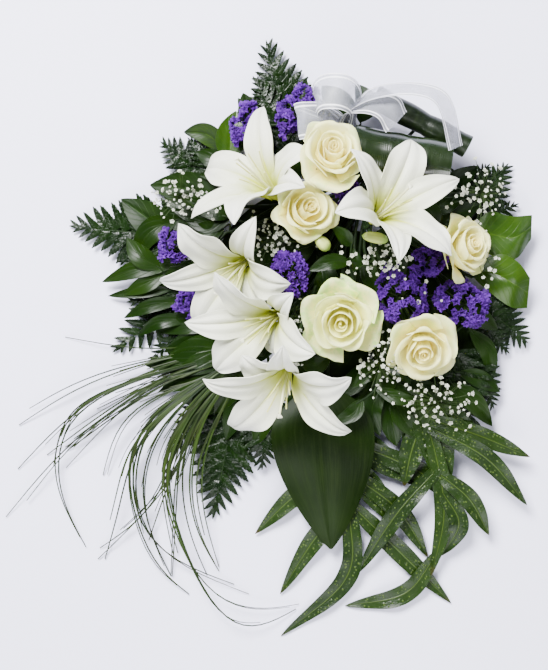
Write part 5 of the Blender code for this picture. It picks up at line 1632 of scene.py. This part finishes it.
def stem_ends():
    """Where each piece takes its stem, and the way it points there."""
    ends = []
    for name, (throat, tilt, heading, _) in LILIES.items():
        ends.append((name, place(*throat) - direction(tilt, heading) * LILY_NECK, -direction(tilt, heading)))
    for name, (middle, tilt, heading, size) in ROSES.items():
        axis = direction(tilt, heading)
        ends.append((name, place(*middle) - axis * (0.6 * ROSE_HEIGHT * size + ROSE_NECK), -axis))
    for name, (middle, sizes, *_) in STATICE.items():
        ends.append((name, place(*middle) - UP * 1.25 * sizes[2] * MM, -UP))
    for name, (middle, sizes, _) in GYPSOPHILA.items():
        ends.append((name, place(*middle) - UP * 1.3 * sizes[2] * MM, -UP))
    for table in (FERNS, BROAD_LEAVES, ASPIDISTRA_LEAVES, KANGAROO_FERNS, RUSCUS):
        for name, (points, *_) in table.items():
            run = places(points)
            if table is RUSCUS:
                run = curve_at(run, np.linspace(0, 1, 6))
            ends.append((name, run[0], unit(run[0] - run[1])))
    for name, (start, end, start_radius, end_radius) in ROLLED_LEAVES.items():
        under = (place(*start) + place(*end)) / 2
        ends.append((name, under - UP * (0.5 * (start_radius + end_radius) + 0.4) * MM, -UP))
    for name, (start, end, radius) in BUDS.items():
        ends.append((name, (place(*start) + place(*end)) / 2 - UP * radius * MM, -UP))
    root = place(*GRASS_SHEATH_PLACE)
    ahead = unit(GRASS_HEADING)
    ends.append(("bear_grass", root - ahead * 0.5 * GRASS_SHEATH, -ahead))
    return ends


def stem_route(start, leave, goal, arrive):
    """Points of a bend that leaves start one way and meets goal end on."""
    reach = np.linalg.norm(goal - start)
    first, last = start + leave * 0.30 * reach, goal + arrive * 0.35 * reach
    last[2] = max(last[2], min(goal[2], STEM_LEVEL))
    run = [start * (1 - t) ** 3 + 3 * first * t * (1 - t) ** 2 + 3 * last * t * t * (1 - t) + goal * t**3
           for t in (0, 0.4, 1)]
    foot = goal + arrive * min(STEM_RISE, 0.25 * reach)
    if arrive[2] < -0.9:
        foot[2] = max(foot[2], min(goal[2] - 2 * MM, LEAST_STEM_LEVEL))
    run.insert(2, foot)
    return np.array(run)


def packed_places(count, radius, step):
    """Places for stems packed side by side in a round bundle, from the middle outwards."""
    spots = [(step * (column + 0.5 * (row % 2)), step * 0.866 * row)
             for column in range(-9, 10) for row in range(-9, 10)]
    spots.sort(key=lambda spot: math.hypot(*spot))
    return [spot for spot in spots if math.hypot(*spot) <= radius][:count]


def stem_runs(packed=None):
    """The route of each stem from the tie, or from another stem, to what it carries.

    packed takes the place of each stem that starts in the bundle.
    """
    tie, cut, heading, side = bundle_frame()
    past_tie = np.linalg.norm(cut - tie)
    ends = stem_ends()
    main = sorted((end for end in ends if end[0] not in BRANCHES), key=lambda end: end[1][2])
    free = packed_places(MOST_STEMS, BUNDLE_RADIUS - FULL_STEM * MM, STEM_GAP)
    routes = {}
    for index, (piece, goal, arrive) in enumerate(main):
        ahead, away = np.dot(goal - tie, heading), np.dot(goal - tie, side)
        if ahead > TIE_START + TIE_WIDTH:
            start = tie + heading * min(ahead, past_tie - 4 * MM)
            start = start + side * np.clip(away, -0.6 * BUNDLE_RADIUS, 0.6 * BUNDLE_RADIUS)
            leave = UP if ahead < past_tie else heading
            routes[piece] = stem_route(start, leave, goal + arrive * CLEARANCE, arrive)
            continue
        level = (1.3 * (index + 0.5) / len(main) - 0.55) * BUNDLE_RADIUS
        wish = (np.clip(away / STEM_SPREAD, -0.6, 0.6) * BUNDLE_RADIUS, level)
        spot = min(free, key=lambda item: math.hypot(item[0] - wish[0], item[1] - wish[1]))
        free.remove(spot)
        offset = side * spot[0] + UP * spot[1]
        start = tie - heading * 2 * MM + offset
        routes[piece] = stem_route(start, -heading, goal + arrive * CLEARANCE, arrive)
        if packed is not None:
            packed[piece] = offset
    if packed is not None:
        packed.update({("spare", *spot): side * spot[0] + UP * spot[1] for spot in free})
    for piece, goal, arrive in ends:
        if piece in BRANCHES:
            parent = routes[BRANCHES[piece]]
            leave = unit(parent[2] - parent[1])
            routes[piece] = stem_route((parent[1] + parent[2]) / 2, leave, goal + arrive * CLEARANCE, arrive)
    return routes


def stem_points(start):
    """Points along every stem, from a share of its length to near its end."""
    return np.vstack([curve_at(route, np.linspace(start, 0.98, 40)) for route in stem_runs().values()])


def stems_piece(finishes, draw):
    """Round stems packed in one bundle, each led on to its bloom or leaf, and cut at the end."""
    tie, cut, heading, _ = bundle_frame()
    packed, cuts = {}, []
    for piece, route in stem_runs(packed).items():
        bend = curve_at(route, np.linspace(0, 1, 14))
        radius = SLIM_STEMS.get(piece.split("_")[0], FULL_STEM)
        if piece in packed:
            offset, radius = packed[piece], max(radius, LEAST_BUNDLED_STEM)
            end = cut + offset - heading * draw.uniform(0, 3) * MM
            bend = np.vstack((end, tie + heading * STEM_LEAD + offset, bend))
        cuts.append(tube(bend, radius * draw.uniform(0.94, 1.0) * MM, 8, draw.uniform(0, 1)))
    for piece, offset in packed.items():
        if piece[0] == "spare":
            end = cut + offset - heading * draw.uniform(0, 3) * MM
            run = np.array((end, tie + heading * STEM_LEAD + offset,
                            tie - heading * BUNDLE_LEAD * 0.8 + offset * 0.9))
            cuts.append(tube(run, FULL_STEM * draw.uniform(0.94, 1.0) * MM, 8, draw.uniform(0, 1)))
    return solid_piece("stems_bundle", cuts, finishes, angle=60)


def tie_piece(finish):
    """Twine wound tightly round the stems, with its turns side by side."""
    tie, _, heading, side = bundle_frame()
    middle = tie + heading * (TIE_START + TIE_WIDTH / 2)
    thick = TIE_THICKNESS / 2
    turns = round(TIE_WIDTH / TIE_THICKNESS) - 1
    t = np.linspace(0, 1, 30 * turns)
    angle = math.tau * turns * t
    along = (t - 0.5) * (TIE_WIDTH - 2 * thick)
    radius = BUNDLE_RADIUS + CLEARANCE + thick
    route = (middle + heading * along[:, None] + side * (radius * np.cos(angle))[:, None]
             + UP * (radius * np.sin(angle))[:, None])
    return solid_piece("tie_band_winding", [tube(route, thick * 1.02, 8, 0.3)], [finish])


def ribbon_loop(line, closed, number):
    """A width of ribbon laid along the line, pleated where it enters the knot."""
    across_at, face_at = sides_along(unit(np.gradient(line, axis=0)), np.array((0.0, 1.0, 0.0)))

    def surface(across, along):
        row = np.rint(along * RIBBON_ROWS).astype(int)
        inward = np.sin(np.pi * along) if closed else np.minimum(1.0, 3 * along)
        half = 0.5 * RIBBON_WIDTH * (0.25 + 0.75 * np.maximum(0, inward) ** 0.6)
        pleat = (1 - inward) * 3.5 * MM * np.cos(3 * math.pi * across)
        ripple = 1.0 * MM * np.sin(5 * along * math.tau / 2 + 3 * across + number) * inward
        return (line[row] + across_at[row] * (across * half)[:, None]
                + face_at[row] * (pleat + ripple)[:, None])

    return sheet(surface, (20, RIBBON_ROWS), 0.2 * number)


def ribbon_piece(finish):
    """The organza bow: wide loops, pinched where they enter the knot."""
    tie, _, heading, side = bundle_frame()
    middle = tie + heading * (TIE_START + TIE_WIDTH / 2)
    knot = middle + side * (BUNDLE_RADIUS + TIE_THICKNESS + CLEARANCE + KNOT_REACH)
    loops, total = [], 0.0
    for number, (loop, closed) in enumerate(RIBBON_LOOPS):
        run = list(places(loop))
        run.insert(0, knot + unit(run[0] - knot) * KNOT_HOLD + UP * 2 * MM)
        if closed:
            run.append(knot + unit(run[-1] - knot) * KNOT_HOLD - UP * 2 * MM)
        line = curve_at(run, np.linspace(0, 1, RIBBON_ROWS + 1))
        total += run_length(line)
        loops.append(ribbon_loop(line, closed, number))
    bow = solid_piece("ribbon_bow", loops, [finish], RIBBON_THICKNESS, 80)
    t = np.linspace(-1, 1, 11)
    wad = tube(UP * t[:, None] * KNOT_RADIUS * 0.95,
               np.sqrt(np.maximum(1 - t**2 * 0.96, 0)) * KNOT_RADIUS, 28, 0.1, lobes=(9, 0.06))
    turned = frame_of(knot, side, np.cross(heading, side), heading)
    return bow, solid_piece("ribbon_knot", [moved(wad, turned)], [finish]), total


# Settings


def tone(name, default, description):
    """A colour that a user can change."""
    return bpy.props.FloatVectorProperty(
        name=name, description=description, default=default, subtype="COLOR", size=3, min=0.0, max=1.0)


class BouquetColours(bpy.types.PropertyGroup):
    """The colours of the bouquet."""

    lily: tone("Lily", (0.73, 0.735, 0.67), "Lily petals in full light")
    # Painted shade on the lily petals, laid as greyer streaks along the veins and in uneven patches.
    lily_shade: tone("Lily Shade", (0.46, 0.48, 0.35), "Fine veins and folds of the lily petals")
    lily_throat: tone("Lily Throat", (0.5, 0.55, 0.06), "Throat and midribs of the lily petals")
    filament: tone("Lily Filament", (0.56, 0.56, 0.14), "Filaments and pistil of the lilies")
    rose: tone("Rose", (0.97, 0.93, 0.35), "Rose petals")
    # The two heart tones also colour the feet of all petals, where they are partly a painted warm glow in the
    # cavities.
    rose_heart: tone("Rose Heart", (0.98, 0.74, 0.08), "Petals at the heart of a rose")
    green_rose: tone("Greenish Rose", (0.95, 0.95, 0.35), "Petals of the greenish rose")
    green_rose_heart: tone("Greenish Rose Heart", (0.93, 0.82, 0.1), "Heart of the greenish rose")
    rose_outer: tone("Rose Outside", (0.52, 0.8, 0.17), "Greenish outermost rose petals")
    statice: tone("Statice", (0.02, 0.001, 0.072), "Statice florets")
    statice_light: tone("Statice Light", (0.105, 0.012, 0.3), "Paler statice florets and rims")
    gypsophila: tone("Gypsophila", (0.62, 0.63, 0.56), "Gypsophila florets")
    gypsophila_shade: tone("Gypsophila Shade", (0.34, 0.38, 0.22), "Greener gypsophila florets")
    twig: tone("Twig", (0.016, 0.03, 0.006), "Thin green twigs")
    fern: tone("Fern", (0.0012, 0.0056, 0.0006), "Fern fronds")
    fern_light: tone("Fern Light", (0.0045, 0.0150, 0.0013), "Paler fern leaflets")
    leaf: tone("Broad Leaf", (0.003, 0.011, 0.0006), "Dark broad leaves")
    leaf_light: tone("Broad Leaf Light", (0.009, 0.024, 0.001), "Paler patches of the broad leaves")
    leaf_vein: tone("Leaf Vein", (0.018, 0.045, 0.006), "Veins of the leaves")
    bright_leaf: tone("Bright Leaf", (0.01, 0.032, 0.0008), "Bright green broad leaves")
    bright_leaf_light: tone("Bright Leaf Light", (0.03, 0.066, 0.002), "Paler patches of the bright leaves")
    grey_leaf: tone("Grey Leaf", (0.009, 0.017, 0.008), "Greyish backs of leaves")
    aspidistra: tone("Aspidistra", (0.0028, 0.0085, 0.0005), "Aspidistra leaves")
    aspidistra_light: tone("Aspidistra Light", (0.0065, 0.0165, 0.001), "Paler patches of the aspidistra")
    aspidistra_streak: tone("Aspidistra Streak", (0.011, 0.022, 0.003), "Fine streaks along the aspidistra")
    kangaroo: tone("Kangaroo Fern", (0.004, 0.0135, 0.0006), "Kangaroo fern fronds")
    kangaroo_light: tone("Kangaroo Fern Light", (0.0125, 0.032, 0.0016), "Paler patches of the kangaroo fern")
    kangaroo_pock: tone("Kangaroo Fern Pocks", (0.075, 0.12, 0.018), "Pocks and midribs of the kangaroo fern")
    dry_brown: tone("Dry Brown", (0.05, 0.025, 0.008), "Dry leaf tips")
    grass: tone("Bear Grass", (0.002, 0.008, 0.0004), "Foot of the bear grass blades")
    grass_light: tone("Bear Grass Light", (0.02, 0.04, 0.004), "Paler bear grass blades")
    grass_tip: tone("Bear Grass Tip", (0.014, 0.019, 0.004), "Tips of the bear grass blades")
    bud: tone("Bud", (0.5, 0.56, 0.15), "Closed buds")
    bud_green: tone("Bud Green", (0.08, 0.17, 0.015), "Greener buds")
    ribbon: tone("Ribbon", (0.34, 0.35, 0.4), "Organza ribbon")
    ribbon_satin: tone("Ribbon Satin", (0.86, 0.86, 0.9), "Satin lines of the ribbon")
    # Painted shade on the ribbon, laid in uneven patches, more on the later loops.
    ribbon_shade: tone("Ribbon Shade", (0.2, 0.21, 0.25), "Folds of the ribbon")
    stem: tone("Stem", (0.004, 0.012, 0.002), "Stems")
    stem_light: tone("Stem Light", (0.012, 0.026, 0.005), "Paler stems")
    tie: tone("Tie", (0.02, 0.045, 0.012), "Twine round the stems")
    tie_light: tone("Tie Light", (0.05, 0.085, 0.03), "Raised strands of the twine")
    floor: tone("Floor", (0.76, 0.76, 0.94), "Floor")
    floor_shade: tone("Floor Shade", (0.71, 0.71, 0.9), "Uneven patches of the floor")


class BouquetSettings(bpy.types.PropertyGroup):
    """The floor and the lights of the bouquet's scene."""

    floor_size: bpy.props.FloatProperty(
        name="Floor Size", description="Side of the floor", default=8.0, unit="LENGTH")
    key_power: bpy.props.FloatProperty(
        name="Main Light", description="Power of the main light", default=315.0, unit="POWER")
    fill_power: bpy.props.FloatProperty(
        name="Low Lights", description="Power that the other lights take shares of", default=42.0,
        unit="POWER")
    sky: bpy.props.FloatProperty(name="Sky", description="Strength of the light all round", default=0.22)
    backdrop: bpy.props.FloatProperty(
        name="Backdrop", description="Brightness of the room behind the bouquet", default=3.0)


# Operators


def make_each(table, maker, slot, *looks):
    """Makes a piece for each row of a table, in the place of the plain node of the same name."""
    for name, values in table.items():
        first = OTHER_FINISHES.get(name, looks[0])
        stand_for(maker(name, *values, finishes=finishes_of(first, *looks[1:])), name)


def lay_floor(settings):
    """A level floor that the lowest leaves touch."""
    bpy.ops.object.select_all(action="DESELECT")
    bpy.ops.mesh.primitive_grid_add(x_subdivisions=8, y_subdivisions=8, size=settings.floor_size,
                                    location=(0, 0, FLOOR_LEVEL))
    floor = bpy.context.object
    bpy.ops.object.transform_apply(location=True)
    floor.name = "floor"
    floor.data.materials.append(finish("Pale Floor"))


def hang_lamps(settings):
    """The soft lamps, each turned to the middle of the floor."""
    for name, spot, size, power, share in LAMPS:
        bpy.ops.object.light_add(type="AREA", location=spot)
        light = bpy.context.object
        light.name = name
        light.data.size, light.data.energy = size, getattr(settings, power) * share
        light.rotation_euler = turns_of(aimed((0, 0, 0), spot))


def soft_room(settings):
    """A world that lights the bouquet dimly and looks bright to the camera."""
    world = bpy.data.worlds.new("Soft Room")
    world.use_nodes = True
    tree = world.node_tree
    seen = Wire(node(tree, "LightPath").outputs["Is Camera Ray"])
    strength = seen * (settings.backdrop - settings.sky) + settings.sky
    feed(tree.nodes["Background"].inputs["Color"], SKY_COLOUR)
    feed(tree.nodes["Background"].inputs["Strength"], strength)
    return world


def overhead_camera():
    """A camera straight above the middle of the grid, which shows the whole grid."""
    bpy.ops.object.camera_add(location=(*GRID_MIDDLE_PLACE, EYE_HEIGHT), rotation=(0, 0, 0))
    camera = bpy.context.object
    camera.name = "Camera"
    camera.data.angle = 2 * math.atan(GRID_MIDDLE[1] * GRID_STEP / (EYE_HEIGHT - GRID_HEIGHT))
    camera.data.dof.use_dof = False
    return camera


class BOUQUET_OT_lilies(bpy.types.Operator):
    """Makes the five lilies"""

    bl_idname = "bouquet.lilies"
    bl_label = "Lilies"

    def execute(self, context):
        make_each(LILIES, lily_bloom, "lily_white", "Lily Petal", "Lily Filament", "Lily Neck")
        return {"FINISHED"}


class BOUQUET_OT_roses(bpy.types.Operator):
    """Makes the five roses"""

    bl_idname = "bouquet.roses"
    bl_label = "Roses"

    def execute(self, context):
        make_each(ROSES, rose_bloom, "rose_cream", "Rose Cream", "Rose Calyx")
        return {"FINISHED"}


class BOUQUET_OT_statice(bpy.types.Operator):
    """Makes the statice sprigs"""

    bl_idname = "bouquet.statice"
    bl_label = "Statice"

    def execute(self, context):
        make_each(STATICE, statice_sprig, "statice_violet", "Statice Cup", "Twig")
        return {"FINISHED"}


class BOUQUET_OT_gypsophila(bpy.types.Operator):
    """Makes the gypsophila sprays and the stray florets between the blooms"""

    bl_idname = "bouquet.gypsophila"
    bl_label = "Gypsophila"

    def execute(self, context):
        looks = ("Gypsophila Floret", "Twig")
        make_each(GYPSOPHILA, gypsophila_spray, "gypsophila_white", *looks)
        stray = stray_gypsophila(finishes_of(*looks), np.random.default_rng(STRAY_SEED))
        ride_along(stray)
        return {"FINISHED"}


class BOUQUET_OT_ferns(bpy.types.Operator):
    """Makes the fern fronds"""

    bl_idname = "bouquet.ferns"
    bl_label = "Fern Fronds"

    def execute(self, context):
        make_each(FERNS, fern_fronds, "fern_green", "Fern Leaflet", "Stem")
        return {"FINISHED"}


class BOUQUET_OT_broad_leaves(bpy.types.Operator):
    """Makes the broad leaves"""

    bl_idname = "bouquet.broad_leaves"
    bl_label = "Broad Leaves"

    def execute(self, context):
        make_each(BROAD_LEAVES, broad_leaf, "leaf_green", "Broad Leaf")
        return {"FINISHED"}


class BOUQUET_OT_long_leaves(bpy.types.Operator):
    """Makes the long flat aspidistra leaves"""

    bl_idname = "bouquet.long_leaves"
    bl_label = "Long Leaves"

    def execute(self, context):
        make_each(ASPIDISTRA_LEAVES, long_leaf, "aspidistra_green", "Aspidistra")
        return {"FINISHED"}


class BOUQUET_OT_rolled_leaves(bpy.types.Operator):
    """Makes the rolled aspidistra leaves"""

    bl_idname = "bouquet.rolled_leaves"
    bl_label = "Rolled Leaves"

    def execute(self, context):
        make_each(ROLLED_LEAVES, rolled_leaf, "aspidistra_green", "Rolled Leaf")
        return {"FINISHED"}


class BOUQUET_OT_kangaroo_ferns(bpy.types.Operator):
    """Makes the kangaroo fern fronds"""

    bl_idname = "bouquet.kangaroo_ferns"
    bl_label = "Kangaroo Ferns"

    def execute(self, context):
        make_each(KANGAROO_FERNS, kangaroo_frond, "kangaroo_green", "Kangaroo Fern")
        return {"FINISHED"}


class BOUQUET_OT_bear_grass(bpy.types.Operator):
    """Makes the tuft of bear grass"""

    bl_idname = "bouquet.bear_grass"
    bl_label = "Bear Grass"

    def execute(self, context):
        tuft = grass_tuft(finish("Bear Grass"), np.random.default_rng(GRASS_SEED))
        stand_for(tuft, "bear_grass")
        return {"FINISHED"}


class BOUQUET_OT_ruscus(bpy.types.Operator):
    """Makes the ruscus sprigs, the small filling leaves and the buds"""

    bl_idname = "bouquet.ruscus"
    bl_label = "Small Leaves and Buds"

    def execute(self, context):
        looks = ("Ruscus Leaf", "Stem")
        make_each(RUSCUS, ruscus_sprig, "leaf_green", *looks)
        leaves = filling_leaves(finishes_of(*looks), np.random.default_rng(FILLING_SEED))
        ride_along(leaves)
        make_each(BUDS, lily_bud, "bud_green", "Bud")
        return {"FINISHED"}


class BOUQUET_OT_stems(bpy.types.Operator):
    """Makes the stems and the twine that ties them"""

    bl_idname = "bouquet.stems"
    bl_label = "Stems and Tie"

    def execute(self, context):
        stems = stems_piece(finishes_of("Stem"), np.random.default_rng(STEM_SEED))
        stand_for(stems, "stems")
        stand_for(tie_piece(finish("Tie Twine")), "tie_band")
        return {"FINISHED"}


class BOUQUET_OT_ribbon(bpy.types.Operator):
    """Makes the organza bow and its knot"""

    bl_idname = "bouquet.ribbon"
    bl_label = "Ribbon"

    def execute(self, context):
        bow, knot, length = ribbon_piece(finish("Organza"))
        stand_for(bow, "ribbon")
        ride_along(knot)
        return {"FINISHED"}


class BOUQUET_OT_stage(bpy.types.Operator):
    """Lays the pale floor, and sets the soft lights, the sky and the camera"""

    bl_idname = "bouquet.stage"
    bl_label = "Stage"

    def execute(self, context):
        lay_floor(context.scene.bouquet_settings)
        hang_lamps(context.scene.bouquet_settings)
        context.scene.world = soft_room(context.scene.bouquet_settings)
        context.scene.camera = overhead_camera()
        return {"FINISHED"}


OPERATORS = (
    BOUQUET_OT_stage, BOUQUET_OT_lilies, BOUQUET_OT_roses, BOUQUET_OT_statice, BOUQUET_OT_gypsophila,
    BOUQUET_OT_ferns, BOUQUET_OT_broad_leaves, BOUQUET_OT_long_leaves, BOUQUET_OT_rolled_leaves,
    BOUQUET_OT_kangaroo_ferns, BOUQUET_OT_bear_grass, BOUQUET_OT_ruscus, BOUQUET_OT_stems,
    BOUQUET_OT_ribbon,
)


class BOUQUET_PT_panel(bpy.types.Panel):
    """Lists the bouquet's operators, settings and colours"""

    bl_idname = "BOUQUET_PT_panel"
    bl_label = "Funeral Bouquet"
    bl_space_type = "VIEW_3D"
    bl_region_type = "UI"
    bl_category = "Bouquet"

    def draw(self, context):
        for operator in OPERATORS:
            self.layout.operator(operator.bl_idname)
        for group_now in (context.scene.bouquet_settings, context.scene.bouquet_colours):
            for key in group_now.__annotations__:
                self.layout.prop(group_now, key)


CLASSES = (BouquetColours, BouquetSettings, *OPERATORS, BOUQUET_PT_panel)


def register():
    """Makes the classes and the scene's settings known to Blender."""
    for item in CLASSES:
        bpy.utils.register_class(item)
    bpy.types.Scene.bouquet_colours = bpy.props.PointerProperty(type=BouquetColours)
    bpy.types.Scene.bouquet_settings = bpy.props.PointerProperty(type=BouquetSettings)


def unregister():
    """Takes away what register added."""
    del bpy.types.Scene.bouquet_settings
    del bpy.types.Scene.bouquet_colours
    for item in reversed(CLASSES):
        bpy.utils.unregister_class(item)


def main():
    """Makes the whole bouquet and notes its size."""
    register()
    make_groups()
    for operator in OPERATORS:
        getattr(bpy.ops.bouquet, operator.bl_idname.split(".")[1])()
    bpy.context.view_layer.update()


if __name__ == "__main__":
    main()
